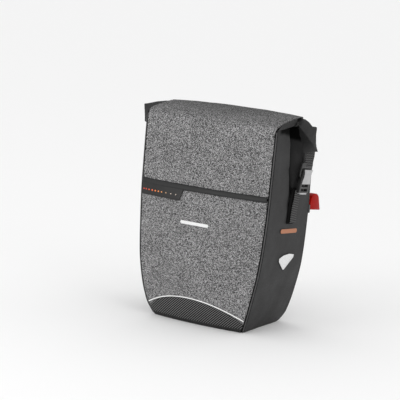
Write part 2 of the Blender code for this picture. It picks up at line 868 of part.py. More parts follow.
red_face = HALF_WIDTH - RED_HOOK_INSET
red_inner = red_face - RED_HOOK_THICK
extrude_outline(
    "hook_base",
    box_outline(GAP, RED_HOOK_GAP - GAP, RED_HOOK_LOW - 0.002, RED_HOOK_LOW + 0.014),
    red_inner,
    red_face,
    0,
    BLACK_PLASTIC,
    0.5,
)
dome = [(RED_HOOK_GAP, RED_HOOK_LOW + 0.004)]
dome.append((RED_HOOK_REACH, RED_HOOK_LOW - 0.001))
dome.append((RED_HOOK_REACH + 0.0005, RED_HOOK_LOW + 0.001))
for k in range(9):
    turn = math.pi * k / 8
    middle = (RED_HOOK_GAP + RED_HOOK_REACH - 0.0055) / 2
    reach = middle - RED_HOOK_GAP
    dome.append(
        (
            middle + reach * math.cos(turn),
            RED_HOOK_LOW + RED_HOOK_HEIGHT - 0.014 + 0.014 * math.sin(turn),
        )
    )
extrude_outline("stabiliser_hook", dome, red_inner, red_face, 0, RED, 0.25)

# The frame: the back plane lies behind the origin, which is in the middle of the base
frame = bpy.data.objects.new("bag_frame", None)
bpy.context.scene.collection.objects.link(frame)
frame.location = (0, BACK_PLANE, 0)
for thing in list(bpy.data.objects):
    if thing is not frame:
        thing.parent = frame
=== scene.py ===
import math

import bmesh
import bpy
from mathutils import Matrix, Vector, noise


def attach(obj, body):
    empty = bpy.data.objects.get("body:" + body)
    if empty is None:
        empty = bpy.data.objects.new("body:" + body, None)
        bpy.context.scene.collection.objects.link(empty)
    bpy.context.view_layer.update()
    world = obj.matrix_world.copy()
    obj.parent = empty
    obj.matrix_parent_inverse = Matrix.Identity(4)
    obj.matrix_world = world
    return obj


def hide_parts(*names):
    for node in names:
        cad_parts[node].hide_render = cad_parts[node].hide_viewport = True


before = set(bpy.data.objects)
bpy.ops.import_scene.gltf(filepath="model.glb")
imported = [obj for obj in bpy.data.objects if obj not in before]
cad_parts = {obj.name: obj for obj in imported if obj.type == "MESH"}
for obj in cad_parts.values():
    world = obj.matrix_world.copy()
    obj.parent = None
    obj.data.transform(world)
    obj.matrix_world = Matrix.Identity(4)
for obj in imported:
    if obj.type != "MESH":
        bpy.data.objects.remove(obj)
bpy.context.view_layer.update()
world_scene = bpy.context.scene


# Camera
# It looks at the bag from its front right, a little above, as the photo does. The bag in
# the photo leans on its carrier, so the camera is rolled by the same few degrees.
camera_data = bpy.data.cameras.new("camera")
camera_data.sensor_width = 36.0
camera_data.lens = 146.598
camera_data.clip_end = 200.0
camera = bpy.data.objects.new("camera", camera_data)
world_scene.collection.objects.link(camera)
camera.matrix_world = Matrix((
    (0.84215349, -0.14568904, 0.51918417, 1.60588789),
    (0.53526622, 0.10921254, -0.83759338, -2.67386031),
    (0.06532675, 0.98328394, 0.16995615, 0.77043837),
    (0.0, 0.0, 0.0, 1.0),
))
world_scene.camera = camera


# Floor and light
# A wide pale floor under a white sky, one large soft lamp low beside the camera and a
# weaker one on the buckle side.
floor_work = bmesh.new()
bmesh.ops.create_grid(floor_work, x_segments=4, y_segments=4, size=60.0)
floor_mesh = bpy.data.meshes.new("studio_floor")
floor_work.to_mesh(floor_mesh)
floor_work.free()
studio_floor = bpy.data.objects.new("studio_floor", floor_mesh)
world_scene.collection.objects.link(studio_floor)
floor_paint = bpy.data.materials.new("floor_paint")
floor_paint.use_nodes = True
floor_shader = floor_paint.node_tree.nodes["Principled BSDF"]
floor_shader.inputs["Base Color"].default_value = (0.90, 0.90, 0.90, 1.0)
floor_shader.inputs["Roughness"].default_value = 0.9
floor_mesh.materials.append(floor_paint)

sky = bpy.data.worlds.new("studio_sky")
sky.use_nodes = True
sky.node_tree.nodes["Background"].inputs["Color"].default_value = (1.0, 1.0, 1.0, 1.0)
sky.node_tree.nodes["Background"].inputs["Strength"].default_value = 1.0
world_scene.world = sky
world_scene.view_settings.view_transform = "Standard"


def soft_lamp(name, place, aim, size, power):
    """A square studio lamp turned towards a point."""
    lamp_data = bpy.data.lights.new(name, "AREA")
    lamp_data.size = size
    lamp_data.energy = power
    lamp = bpy.data.objects.new(name, lamp_data)
    world_scene.collection.objects.link(lamp)
    away = Vector(place) - Vector(aim)
    lamp.matrix_world = Matrix.Translation(place) @ away.to_track_quat("Z", "Y").to_matrix().to_4x4()
    return lamp


soft_lamp("front_lamp", (-1.2, -3.2, 0.9), (0.0, 0.0, 0.2), 1.4, 30.0)
soft_lamp("side_lamp", (3.0, -1.2, 1.1), (0.0, 0.0, 0.2), 1.4, 8.0)


# Melange front
# The face of the bag is one stiff cloth in mixed grey yarn. It is cut in two: a lower
# panel, and an upper one that goes on over the roof and turns under behind the ridge.
BACK_PLANE = 0.084
HALF_WIDTH = 0.146
DEPTH = 0.164
FRONT_HEIGHT = 0.392
ROOF_DEPTH = 0.094
ROOF_RISE = 0.022
RIDGE_CROWN = 0.0045
FRONT_CROWN = 0.014
CLOTH = 0.002
SEAM_INSET = 0.0044
BAND_LOW = 0.2590
BAND_HIGH = 0.2685

# Height share, half width share, front depth share
BODY = [
    ("foot", 0.000, 0.700, 0.890),
    ("toe", 0.072, 0.790, 0.960),
    ("toe top", 0.180, 0.876, 0.998),
    ("belly", 0.325, 0.952, 1.000),
    ("waist", 0.550, 0.990, 0.965),
    ("chest", 0.770, 0.996, 0.932),
    ("top", 1.000, 1.000, 0.902),
]
# Distance share from the front edge, rise share
ROOF = [
    ("front edge", 0.00, 0.00),
    ("round 1", 0.05, 0.26),
    ("round 2", 0.12, 0.45),
    ("round 3", 0.24, 0.62),
    ("flat 1", 0.44, 0.76),
    ("flat 2", 0.70, 0.90),
    ("ridge", 1.00, 1.00),
    ("turn 1", 1.045, 0.88),
    ("turn 2", 1.060, 0.52),
]


def smooth_row(table, share, column):
    """A value of a table at a share, on a smooth curve through its rows."""
    rows = [row[1:] for row in table]
    share = min(max(share, rows[0][0]), rows[-1][0])
    index = 0
    while index < len(rows) - 2 and share > rows[index + 1][0]:
        index += 1
    low, high = rows[index], rows[index + 1]
    before, after = rows[max(index - 1, 0)], rows[min(index + 2, len(rows) - 1)]
    span = high[0] - low[0]
    slope_low = (high[column] - before[column]) / (high[0] - before[0])
    slope_high = (after[column] - low[column]) / (after[0] - low[0])
    t = (share - low[0]) / span
    return (
        (2 * t**3 - 3 * t**2 + 1) * low[column]
        + (t**3 - 2 * t**2 + t) * span * slope_low
        + (3 * t**2 - 2 * t**3) * high[column]
        + (t**3 - t**2) * span * slope_high
    )


def half_width(z):
    return HALF_WIDTH * smooth_row(BODY, z / FRONT_HEIGHT, 1)


def front_edge(z):
    return -DEPTH * smooth_row(BODY, z / FRONT_HEIGHT, 2)


def front_y(x, z):
    """y of the crowned front face, measured from the back plane."""
    across = min(abs(x) / half_width(z), 1.0)
    share = z / FRONT_HEIGHT
    fullness = 0.62 + 0.38 * math.sin(math.pi * min(share * 1.15, 1.0)) - 0.22 * share**6
    return front_edge(z) - FRONT_CROWN * fullness * (1.0 - across**2.2)


def roof_point(step, x):
    across = min(abs(x) / HALF_WIDTH, 1.0)
    rise = ROOF_RISE * smooth_row(ROOF, step, 1)
    crown = RIDGE_CROWN * (1.0 - across**2) * min(max(step, 0.0) * 1.6, 1.0)
    start = front_y(x, FRONT_HEIGHT) * (1.0 - min(step * 2.5, 1.0))
    edge = front_edge(FRONT_HEIGHT) * min(step * 2.5, 1.0)
    return start + edge + ROOF_DEPTH * step, FRONT_HEIGHT + rise + crown


def mix(low, high, share):
    return low + (high - low) * share


# The empty bag has settled inwards a little on its left, most at this height
SLUMP = 0.0062
SLUMP_HEIGHT = 0.125
SLUMP_REACH = 0.110


def slump(z):
    return SLUMP * math.exp(-(((z - SLUMP_HEIGHT) / SLUMP_REACH) ** 2)) * min(max(z, 0.0) / 0.04, 1.0)


def slack(a, b, seed, reach=0.055):
    """Soft unevenness of cloth at a place on it, from about -1 to 1."""
    broad = noise.noise(Vector((a / reach, b / reach, seed)))
    fine = noise.noise(Vector((a / reach * 2.6, b / reach * 2.6, seed + 7.0)))
    return broad + 0.4 * fine


def pucker(away, along, pitch=0.0085, fade=0.007):
    """Small waves that stitching draws into the cloth beside a seam."""
    return math.exp(-max(away, 0.0) / fade) * math.sin(2.0 * math.pi * along / pitch)


def laid_cloth(columns, rows, place, outwards):
    """A flat sheet laid onto a shape. place gives a point for two shares of the sheet."""
    work = bmesh.new()
    flat = work.loops.layers.uv.new("flat")
    bmesh.ops.create_grid(work, x_segments=columns, y_segments=rows, size=0.5)
    for face in work.faces:
        for loop in face.loops:
            loop[flat].uv = (loop.vert.co.x + 0.5, loop.vert.co.y + 0.5)
    for vert in work.verts:
        vert.co = place(vert.co.x + 0.5, vert.co.y + 0.5)
    work.normal_update()
    facing = sum((face.normal * face.calc_area() for face in work.faces), Vector())
    if facing.dot(Vector(outwards)) < 0.0:
        bmesh.ops.reverse_faces(work, faces=work.faces)
    return work


def add_piece(name, work, material, nodes=(), from_back=True, sharp=50.0):
    """Makes the finished mesh a piece of the bag that stands for its CAD nodes."""
    if from_back:
        bmesh.ops.translate(work, verts=work.verts, vec=(0.0, BACK_PLANE, 0.0))
    for vert in work.verts:
        if vert.co.x < 0.0:
            vert.co.x += slump(vert.co.z) * min(-vert.co.x / HALF_WIDTH, 1.2) ** 2
    mesh = bpy.data.meshes.new(name)
    work.to_mesh(mesh)
    work.free()
    mesh.shade_smooth()
    mesh.set_sharp_from_angle(angle=math.radians(sharp))
    piece = bpy.data.objects.new(name, mesh)
    world_scene.collection.objects.link(piece)
    mesh.materials.append(material)
    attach(piece, "root")
    if nodes:
        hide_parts(*nodes)
    return piece


def cloth_wall(piece, thick, round_edge=0.0):
    """Gives a sheet its thickness, inwards from the side that shows, and softens its rim."""
    wall = piece.modifiers.new("cloth wall", "SOLIDIFY")
    wall.thickness = thick
    wall.offset = -1.0
    if round_edge > 0.0:
        rim = piece.modifiers.new("soft rim", "BEVEL")
        rim.width = round_edge
        rim.segments = 2
        rim.limit_method = "ANGLE"
        rim.angle_limit = math.radians(60.0)
    return piece


def group_socket(group, name, direction, kind, value=None):
    socket = group.interface.new_socket(name=name, in_out=direction, socket_type=kind)
    if value is not None:
        socket.default_value = value
    return socket


def add_node(tree, kind, links=None, **settings):
    """A shader node with its settings, and its inputs set or linked by name or number."""
    node = tree.nodes.new(kind)
    for key, value in settings.items():
        setattr(node, key, value)
    for key, value in (links or {}).items():
        if isinstance(value, bpy.types.NodeSocket):
            tree.links.new(value, node.inputs[key])
        else:
            node.inputs[key].default_value = value
    return node


def add_math(tree, operation, *values):
    return add_node(tree, "ShaderNodeMath", dict(enumerate(values)), operation=operation).outputs[0]


def set_ramp(node, stops):
    ramp = node.color_ramp
    while len(ramp.elements) < len(stops):
        ramp.elements.new(0.5)
    for element, (position, colour) in zip(ramp.elements, stops):
        element.position = position
        element.color = (*colour, 1.0) if len(colour) == 3 else colour


# Fine weave: a lattice of crossing threads that works on faces turned any way, with
# thick and thin threads
weave_group = bpy.data.node_groups.new("plain_weave", "ShaderNodeTree")
group_socket(weave_group, "Vector", "INPUT", "NodeSocketVector")
group_socket(weave_group, "Threads", "INPUT", "NodeSocketFloat", 2500.0)
group_socket(weave_group, "Height", "OUTPUT", "NodeSocketFloat")
weave_in = weave_group.nodes.new("NodeGroupInput")
weave_out = weave_group.nodes.new("NodeGroupOutput")
weave_scaled = add_node(
    weave_group, "ShaderNodeVectorMath",
    {0: weave_in.outputs["Vector"], "Scale": weave_in.outputs["Threads"]}, operation="SCALE",
)
weave_wave = add_node(
    weave_group, "ShaderNodeVectorMath", {0: weave_scaled.outputs[0]}, operation="SINE"
)
weave_sum = add_node(
    weave_group, "ShaderNodeVectorMath",
    {0: weave_wave.outputs[0], 1: (1.0, 1.0, 1.0)}, operation="DOT_PRODUCT",
)
weave_uneven = add_node(
    weave_group, "ShaderNodeTexNoise",
    {"Vector": weave_in.outputs["Vector"], "Scale": 900.0, "Detail": 1.0},
)
weave_height = add_math(
    weave_group, "MULTIPLY_ADD", weave_sum.outputs["Value"], 0.35, weave_uneven.outputs["Fac"]
)
weave_group.links.new(weave_height, weave_out.inputs["Height"])

# Handling marks: broad soft patches of dust and rubbing
dust_group = bpy.data.node_groups.new("soft_dust", "ShaderNodeTree")
group_socket(dust_group, "Vector", "INPUT", "NodeSocketVector")
group_socket(dust_group, "Reach", "INPUT", "NodeSocketFloat", 18.0)
group_socket(dust_group, "Mask", "OUTPUT", "NodeSocketFloat")
dust_in = dust_group.nodes.new("NodeGroupInput")
dust_out = dust_group.nodes.new("NodeGroupOutput")
dust_cloud = add_node(
    dust_group, "ShaderNodeTexNoise",
    {"Vector": dust_in.outputs["Vector"], "Scale": dust_in.outputs["Reach"], "Detail": 5.0,
     "Roughness": 0.62},
)
dust_ramp = add_node(dust_group, "ShaderNodeMapRange", {
    "Value": dust_cloud.outputs["Fac"], "From Min": 0.35, "From Max": 0.70,
})
dust_group.links.new(dust_ramp.outputs["Result"], dust_out.inputs["Mask"])


def start_material(name, roughness, specular=0.5):
    """A node material with its node tree, its Principled shader and object coordinates."""
    material = bpy.data.materials.new(name)
    material.use_nodes = True
    tree = material.node_tree
    shader = tree.nodes["Principled BSDF"]
    shader.inputs["Roughness"].default_value = roughness
    shader.inputs["Specular IOR Level"].default_value = specular
    place = tree.nodes.new("ShaderNodeTexCoord").outputs["Object"]
    return material, tree, shader, place


def add_group(tree, group, links):
    return add_node(tree, "ShaderNodeGroup", links, node_tree=group)


def add_bump(tree, shader, height, distance, strength=1.0):
    bump = add_node(tree, "ShaderNodeBump", {"Height": height, "Distance": distance, "Strength": strength})
    tree.links.new(bump.outputs["Normal"], shader.inputs["Normal"])
    return bump


def mix_colours(tree, factor, low, high, blend="MIX"):
    low, high = ((*colour, 1.0) if isinstance(colour, tuple) else colour for colour in (low, high))
    node = add_node(tree, "ShaderNodeMix", {0: factor, 6: low, 7: high}, data_type="RGBA", blend_type=blend)
    return node.outputs[2]


def paint(tree, shader, factor, low, high, blend="MIX"):
    """Colours the material from low to high by a factor."""
    tree.links.new(mix_colours(tree, factor, low, high, blend), shader.inputs["Base Color"])


# Mixed yarn: random light and dark flecks about 1 mm across, drifting patches and a weave
melange, tree, shader, place = start_material("mixed_grey_yarn", 0.9, 0.25)
flecks = add_node(tree, "ShaderNodeTexVoronoi", {"Vector": place, "Scale": 1000.0})
fleck_value = add_node(tree, "ShaderNodeSeparateColor", {"Color": flecks.outputs["Color"]})
tufts = add_node(tree, "ShaderNodeTexNoise", {"Vector": place, "Scale": 800.0, "Detail": 2.0})
yarn_mix = add_math(tree, "MULTIPLY_ADD", fleck_value.outputs["Red"], 0.55, tufts.outputs["Fac"])
yarn_ramp = add_node(tree, "ShaderNodeValToRGB", {"Fac": yarn_mix})
set_ramp(yarn_ramp, [
    (0.46, (0.006, 0.006, 0.006)),
    (0.64, (0.040, 0.040, 0.040)),
    (0.82, (0.155, 0.154, 0.155)),
    (0.96, (0.400, 0.396, 0.400)),
])
patches = add_group(tree, dust_group, {"Vector": place, "Reach": 14.0})
yarn_shade = mix_colours(tree, patches.outputs["Mask"], (0.90, 0.90, 0.90), (1.08, 1.08, 1.08))
yarn_colour = mix_colours(tree, 1.0, yarn_ramp.outputs["Color"], yarn_shade, "MULTIPLY")
# Painted shade: the roof's cloth is darkened towards the ridge, where the roof turns away from the light
yarn_parts = add_node(tree, "ShaderNodeSeparateXYZ", {"Vector": place})
yarn_ridge_shade = add_node(tree, "ShaderNodeMapRange", {
    "Value": yarn_parts.outputs["Z"], "From Min": 0.394, "From Max": 0.4185, "To Min": 1.0, "To Max": 0.45,
})
yarn_ridge_shaded = mix_colours(tree, yarn_ridge_shade.outputs["Result"], (0.0, 0.0, 0.0), yarn_colour)
tree.links.new(yarn_ridge_shaded, shader.inputs["Base Color"])
yarn_weave = add_group(tree, weave_group, {"Vector": place, "Threads": 5200.0})
yarn_height = add_math(tree, "MULTIPLY_ADD", yarn_weave.outputs["Height"], 0.5, yarn_mix)
add_bump(tree, shader, yarn_height, 0.00025, 0.8)


def lower_panel_point(u, v):
    z_low = toe_line(mix(-1.0, 1.0, u) * HALF_WIDTH * 0.85) + 0.0008
    side = mix(-1.0, 1.0, u)
    z = mix(z_low, BAND_LOW + 0.0020, v)
    x = side * (half_width(z) - SEAM_INSET)
    edge_room = (1.0 - abs(side)) * HALF_WIDTH
    y = front_y(x, z)
    y += 0.0007 * slack(x, z, 3.1) * min(edge_room / 0.02, 1.0)
    y += 0.00022 * pucker(edge_room, z) + 0.00018 * pucker(z - z_low, x)
    return Vector((x, y, z))


# Curved top edge of the ribbed toe: height at a place across
TOE_RISE_MIDDLE = 0.0530
TOE_RISE_LEFT = 0.0160
TOE_RISE_RIGHT = 0.0175
TOE_PEAK = -0.0100


def toe_line(x):
    span = (HALF_WIDTH * 0.86 + TOE_PEAK) if x < TOE_PEAK else (HALF_WIDTH * 0.86 - TOE_PEAK)
    share = min(abs(x - TOE_PEAK) / span, 1.0)
    if x > TOE_PEAK:
        return TOE_RISE_MIDDLE - (TOE_RISE_MIDDLE - TOE_RISE_RIGHT) * share**2
    return TOE_RISE_MIDDLE - (TOE_RISE_MIDDLE - TOE_RISE_LEFT) * share**2.2


lower_front = add_piece(
    "melange_lower_front",
    laid_cloth(150, 130, lower_panel_point, (0, -1, 0)),
    melange, ["front_lower_panel"],
)
cloth_wall(lower_front, CLOTH)

UPPER_BREAK = 0.54
UPPER_END = FRONT_HEIGHT - 0.004


def upper_panel_point(u, v):
    side = mix(-1.0, 1.0, u)
    edge_room = (1.0 - abs(side)) * HALF_WIDTH
    if v < UPPER_BREAK:
        z = mix(BAND_HIGH - 0.0020, UPPER_END, v / UPPER_BREAK)
        x = side * (half_width(z) - SEAM_INSET)
        y = front_y(x, z)
        y += 0.0006 * slack(x, z, 3.1) * min(edge_room / 0.02, 1.0)
        y += 0.00022 * pucker(edge_room, z)
        return Vector((x, y, z))
    step = (v - UPPER_BREAK) / (1.0 - UPPER_BREAK)
    step = mix(-0.03, 1.06, step**1.25)
    hem = min(max(step, 0.0) / 0.12, 1.0)
    x = side * mix(HALF_WIDTH - SEAM_INSET, HALF_WIDTH - 0.0008, hem)
    if step <= 0.0:
        z = FRONT_HEIGHT + 0.004 * step / 0.03
        return Vector((x, front_y(x, z), z))
    y, z = roof_point(step, x)
    z += 0.0007 * slack(x, y, 9.4, 0.04) * min(edge_room / 0.02, 1.0) * min(step * 4.0, 1.0)
    z += 0.0002 * pucker(edge_room, y)
    return Vector((x, y, z))


upper_front = add_piece(
    "melange_upper_front",
    laid_cloth(150, 150, upper_panel_point, (0, -1, 0.5)),
    melange, ["front_upper_panel"],
)
cloth_wall(upper_front, CLOTH)


# Band across the front
# A folded welt of smooth black cloth, sewn in between the two panels. Its lower edge
# hangs free and rolls under.
trim, tree, shader, place = start_material("smooth_black_trim", 0.5, 0.3)
trim_dust = add_group(tree, dust_group, {"Vector": place, "Reach": 30.0})
paint(tree, shader, trim_dust.outputs["Mask"], (0.008, 0.008, 0.008), (0.016, 0.016, 0.016))
trim_weave = add_group(tree, weave_group, {"Vector": place, "Threads": 4200.0})
add_bump(tree, shader, trim_weave.outputs["Height"], 0.00012, 0.6)
trim_rough = add_node(tree, "ShaderNodeMapRange", {
    "Value": trim_dust.outputs["Mask"], "To Min": 0.42, "To Max": 0.60,
})
tree.links.new(trim_rough.outputs["Result"], shader.inputs["Roughness"])

# Share down the band, how far it stands out
BAND_PROFILE = [
    ("seam", 0.00, 0.0002),
    ("shoulder", 0.10, 0.0016),
    ("top", 0.30, 0.0024),
    ("belly", 0.62, 0.0030),
    ("roll", 0.88, 0.0027),
    ("under", 0.97, 0.0017),
    ("edge", 1.00, 0.0004),
]


def band_point(u, v):
    side = mix(-1.0, 1.0, u)
    z = mix(BAND_HIGH + 0.0006, BAND_LOW - 0.0008, v)
    x = side * (half_width(z) - SEAM_INSET - 0.0004)
    proud = smooth_row(BAND_PROFILE, v, 1) * (1.0 + 0.12 * slack(x, z, 5.5, 0.02))
    return Vector((x, front_y(x, z) - proud, z + 0.0003 * slack(x, 0.0, 2.2, 0.03)))


front_band = add_piece(
    "front_welt",
    laid_cloth(150, 22, band_point, (0, -1, 0)),
    trim, ["zip_band"],
)
cloth_wall(front_band, 0.0016)


# Dotted patch
# A dark coated patch on the left under the band, cut slanted at its right end, with one
# row of small coloured dots printed on it.
PATCH_LEFT = -0.1405
PATCH_RIGHT_HIGH = -0.0375
PATCH_RIGHT_LOW = -0.0445
PATCH_LOW = 0.2370
PATCH_HIGH = BAND_LOW + 0.0003
PATCH_PROUD = 0.0022


def patch_point(u, v):
    z = mix(PATCH_LOW, PATCH_HIGH, v)
    right = mix(PATCH_RIGHT_LOW, PATCH_RIGHT_HIGH, v)
    x = mix(PATCH_LEFT, right, u)
    rim = min(u * 0.1, (1.0 - u) * 0.1, v * 0.022)
    proud = PATCH_PROUD - 0.0009 * math.exp(-rim / 0.0012)
    return Vector((x, front_y(x, z) - proud - 0.0001 * slack(x, z, 8.0, 0.02), z))


patch_film, tree, shader, place = start_material("coated_patch", 0.45, 0.35)
film_dust = add_group(tree, dust_group, {"Vector": place, "Reach": 45.0})
paint(tree, shader, film_dust.outputs["Mask"], (0.006, 0.006, 0.006), (0.012, 0.011, 0.011))
film_grain = add_node(tree, "ShaderNodeTexNoise", {"Vector": place, "Scale": 700.0, "Detail": 2.0})
add_bump(tree, shader, film_grain.outputs["Fac"], 0.0001, 0.5)
dotted_patch = add_piece(
    "dotted_patch",
    laid_cloth(70, 18, patch_point, (0, -1, 0)),
    patch_film, ["cover_patch"],
)
cloth_wall(dotted_patch, 0.0014, 0.0004)

# Place across, size and colour of each printed dot
DOTS = [
    (-0.1350, 0.0013, (0.55, 0.06, 0.03)),
    (-0.1290, 0.0014, (0.55, 0.06, 0.03)),
    (-0.1215, 0.0016, (0.58, 0.08, 0.03)),
    (-0.1130, 0.0017, (0.62, 0.12, 0.03)),
    (-0.1050, 0.0017, (0.66, 0.18, 0.04)),
    (-0.0970, 0.0016, (0.68, 0.24, 0.06)),
    (-0.0890, 0.0014, (0.66, 0.30, 0.10)),
    (-0.0780, 0.0011, (0.60, 0.42, 0.26)),
    (-0.0660, 0.0010, (0.60, 0.58, 0.54)),
    (-0.0540, 0.0010, (0.60, 0.58, 0.54)),
]
DOT_HEIGHT = 0.2475
dots_work = bmesh.new()
dot_colour = dots_work.loops.layers.float_color.new("ink")
for dot_x, dot_radius, ink in DOTS:
    lean = Vector((dot_x, front_y(dot_x, DOT_HEIGHT) - PATCH_PROUD - 0.0003, DOT_HEIGHT))
    made = bmesh.ops.create_uvsphere(
        dots_work, u_segments=16, v_segments=8, radius=dot_radius,
        matrix=Matrix.Translation(lean) @ Matrix.Diagonal((1.0, 0.18, 1.0, 1.0)),
    )
    for vert in made["verts"]:
        for loop in vert.link_loops:
            loop[dot_colour] = (*ink, 1.0)
dot_print, tree, shader, place = start_material("printed_dots", 0.4)
dot_ink = add_node(tree, "ShaderNodeAttribute", attribute_name="ink")
dot_speck = add_node(tree, "ShaderNodeTexNoise", {"Vector": place, "Scale": 1500.0})
paint(tree, shader, dot_speck.outputs["Fac"], dot_ink.outputs["Color"], (0.9, 0.5, 0.3), "SOFT_LIGHT")
add_piece("printed_dots", dots_work, dot_print)


# Ribbed toe
# The foot of the front is covered with a black rubbery cloth moulded in slanted ribs,
# sewn in under the white piping above it and the hem below.
RIB_SLOPE = math.radians(40.6)
RIB_PITCH = 0.00340
RIB_HEIGHT = 0.00075
HEM_HEIGHT = 0.0070


def rib_phase(x, z):
    across = x * math.sin(RIB_SLOPE) - z * math.cos(RIB_SLOPE)
    return 2.0 * math.pi * across / RIB_PITCH


def toe_point(u, v):
    side = mix(-1.0, 1.0, u)
    high = toe_line(side * HALF_WIDTH * 0.84) - 0.0006
    z = mix(HEM_HEIGHT - 0.0010, high, v)
    x = side * (half_width(z) - SEAM_INSET)
    rim = min((1.0 - abs(side)) * HALF_WIDTH, z - HEM_HEIGHT, high - z)
    rib = 0.5 + 0.5 * math.cos(rib_phase(x, z))
    y = front_y(x, z) - RIB_HEIGHT * (rib**0.7) * min(max(rim, 0.0) / 0.0025, 1.0)
    return Vector((x, y + 0.0003 * slack(x, z, 1.3, 0.03), z))


rib_cloth, tree, shader, place = start_material("ribbed_rubber_cloth", 0.55, 0.2)
rib_parts = add_node(tree, "ShaderNodeSeparateXYZ", {"Vector": place})
rib_x = add_math(tree, "MULTIPLY", rib_parts.outputs["X"], math.sin(RIB_SLOPE))
rib_z = add_math(tree, "MULTIPLY", rib_parts.outputs["Z"], math.cos(RIB_SLOPE))
rib_across = add_math(tree, "SUBTRACT", rib_x, rib_z)
rib_turn = add_math(tree, "MULTIPLY", rib_across, 2.0 * math.pi / RIB_PITCH)
rib_wave = add_math(tree, "COSINE", rib_turn)
# Painted light and shade: the crests of the ribs are painted light grey and the grooves near black
rib_crest_light_shade = add_node(tree, "ShaderNodeMapRange", {"Value": rib_wave, "From Min": 0.45, "From Max": 1.0})
paint(tree, shader, rib_crest_light_shade.outputs["Result"], (0.001, 0.001, 0.001), (0.230, 0.228, 0.228))
rib_grain = add_node(tree, "ShaderNodeTexNoise", {"Vector": place, "Scale": 1200.0, "Detail": 2.0})
add_bump(tree, shader, rib_grain.outputs["Fac"], 0.00010, 0.5)
ribbed_toe = add_piece(
    "ribbed_toe",
    laid_cloth(400, 64, toe_point, (0, -1, 0)),
    rib_cloth, ["toe_panel"],
)
cloth_wall(ribbed_toe, 0.0016)


# White piping
# A bright reflective cord, woven over a soft core and sewn in along the curved top of
# the ribbed toe.
def rolled_cloth(around, along, place):
    """A flat grid rolled into a closed tube, its seam merged and its ends filled."""
    work = bmesh.new()
    flat = work.loops.layers.uv.new("flat")
    bmesh.ops.create_grid(work, x_segments=around, y_segments=along, size=0.5)
    for face in work.faces:
        for loop in face.loops:
            loop[flat].uv = (loop.vert.co.x + 0.5, loop.vert.co.y + 0.5)
    for vert in work.verts:
        vert.co = place(vert.co.x + 0.5, vert.co.y + 0.5)
    bmesh.ops.remove_doubles(work, verts=work.verts, dist=0.000002)
    bmesh.ops.holes_fill(work, edges=[edge for edge in work.edges if edge.is_boundary])
    bmesh.ops.recalc_face_normals(work, faces=work.faces)
    return work


def cord_work(line, radius, around=10, along=120):
    """A round cord that follows line(share)."""
    def point(a, s):
        s = min(max(s, 0.0), 1.0)
        here = line(s)
        ahead = (line(min(s + 0.004, 1.0)) - line(max(s - 0.004, 0.0))).normalized()
        helper = Vector((0, 1, 0)) if abs(ahead.y) < 0.8 else Vector((0, 0, 1))
        first = ahead.cross(helper).normalized()
        second = ahead.cross(first).normalized()
        turn = 2.0 * math.pi * a
        end = min(1.0, min(s, 1.0 - s) * along / 1.5 + 0.35)
        return here + (first * math.cos(turn) + second * math.sin(turn)) * radius * end
    return rolled_cloth(around, along, point)


def piping_line(share):
    u = mix(-0.997, 0.997, share)
    x = u * HALF_WIDTH * 0.85
    for _ in range(6):
        x = u * (half_width(toe_line(x)) - SEAM_INSET - 0.0006)
    z = toe_line(x)
    return Vector((x, front_y(x, z) - 0.0002, z))


white_cord, tree, shader, place = start_material("reflective_white_cord", 0.35)
cord_weave = add_group(tree, weave_group, {"Vector": place, "Threads": 7000.0})
cord_dust = add_group(tree, dust_group, {"Vector": place, "Reach": 60.0})
paint(tree, shader, cord_dust.outputs["Mask"], (0.92, 0.92, 0.92), (0.80, 0.80, 0.79))
add_bump(tree, shader, cord_weave.outputs["Height"], 0.00010, 0.5)
add_piece(
    "white_piping", cord_work(piping_line, 0.0010, 12, 160), white_cord,
    ["reflective_piping"],
)


# Bottom hem
# A smooth strip of the trim cloth folded round the foot of the front, four fifths of it
# in front and the rest turned under.
HEM_FRONT = 0.8
HEM_UNDER = 0.006


def hem_point(u, v):
    side = mix(-1.0, 1.0, u)
    down = min(v / HEM_FRONT, 1.0)
    z = mix(HEM_HEIGHT + 0.0002, 0.0004, down)
    x = side * (half_width(z) - SEAM_INSET)
    proud = 0.0013 * math.sin(math.pi * down * 0.82 + 0.12)
    y = front_y(x, z) - proud
    if v > HEM_FRONT:
        y += (v - HEM_FRONT) / (1.0 - HEM_FRONT) * HEM_UNDER
        z = 0.0002
    return Vector((x, y, z))


hem_strip = add_piece(
    "bottom_hem_strip", laid_cloth(120, 16, hem_point, (0, -1, 0)), trim, ["bottom_hem"]
)
cloth_wall(hem_strip, 0.0012)


# Sides
# Each side is one piece of black coated cloth, with a deep soft fold inwards at the top
# where the bag is rolled shut. It is sewn to the front at a piping and to the back.
FOLD_DEPTH = 0.048
FOLD_FOOT = 0.238
BACK_CORNER = 0.022
ROLL_UNDER = 0.3945
YOKE_HIGH = 0.4080
YOKE_LOW = 0.3850
RIDGE_Y = front_edge(FRONT_HEIGHT) + ROOF_DEPTH


def roof_height(y):
    """Height of the roof's side edge above a place y."""
    step = (y - front_edge(FRONT_HEIGHT)) / ROOF_DEPTH
    if step > 1.0:
        return FRONT_HEIGHT + ROOF_RISE - 0.30 * (step - 1.0) * ROOF_DEPTH
    return FRONT_HEIGHT + ROOF_RISE * smooth_row(ROOF, step, 1)


def yoke_height(y):
    return YOKE_HIGH - (YOKE_HIGH - YOKE_LOW) * (y - RIDGE_Y) / -RIDGE_Y


def side_top(y):
    return min(roof_height(y) - 0.0035, ROLL_UNDER, yoke_height(y) - 0.0030)


def side_back(z):
    """y of the side's back edge, rounded in at the foot."""
    if z >= BACK_CORNER:
        return -CLOTH - 0.0004
    reach = math.sqrt(max((BACK_CORNER - CLOTH) ** 2 - (BACK_CORNER - z) ** 2, 0.0))
    return -BACK_CORNER + reach * 0.98


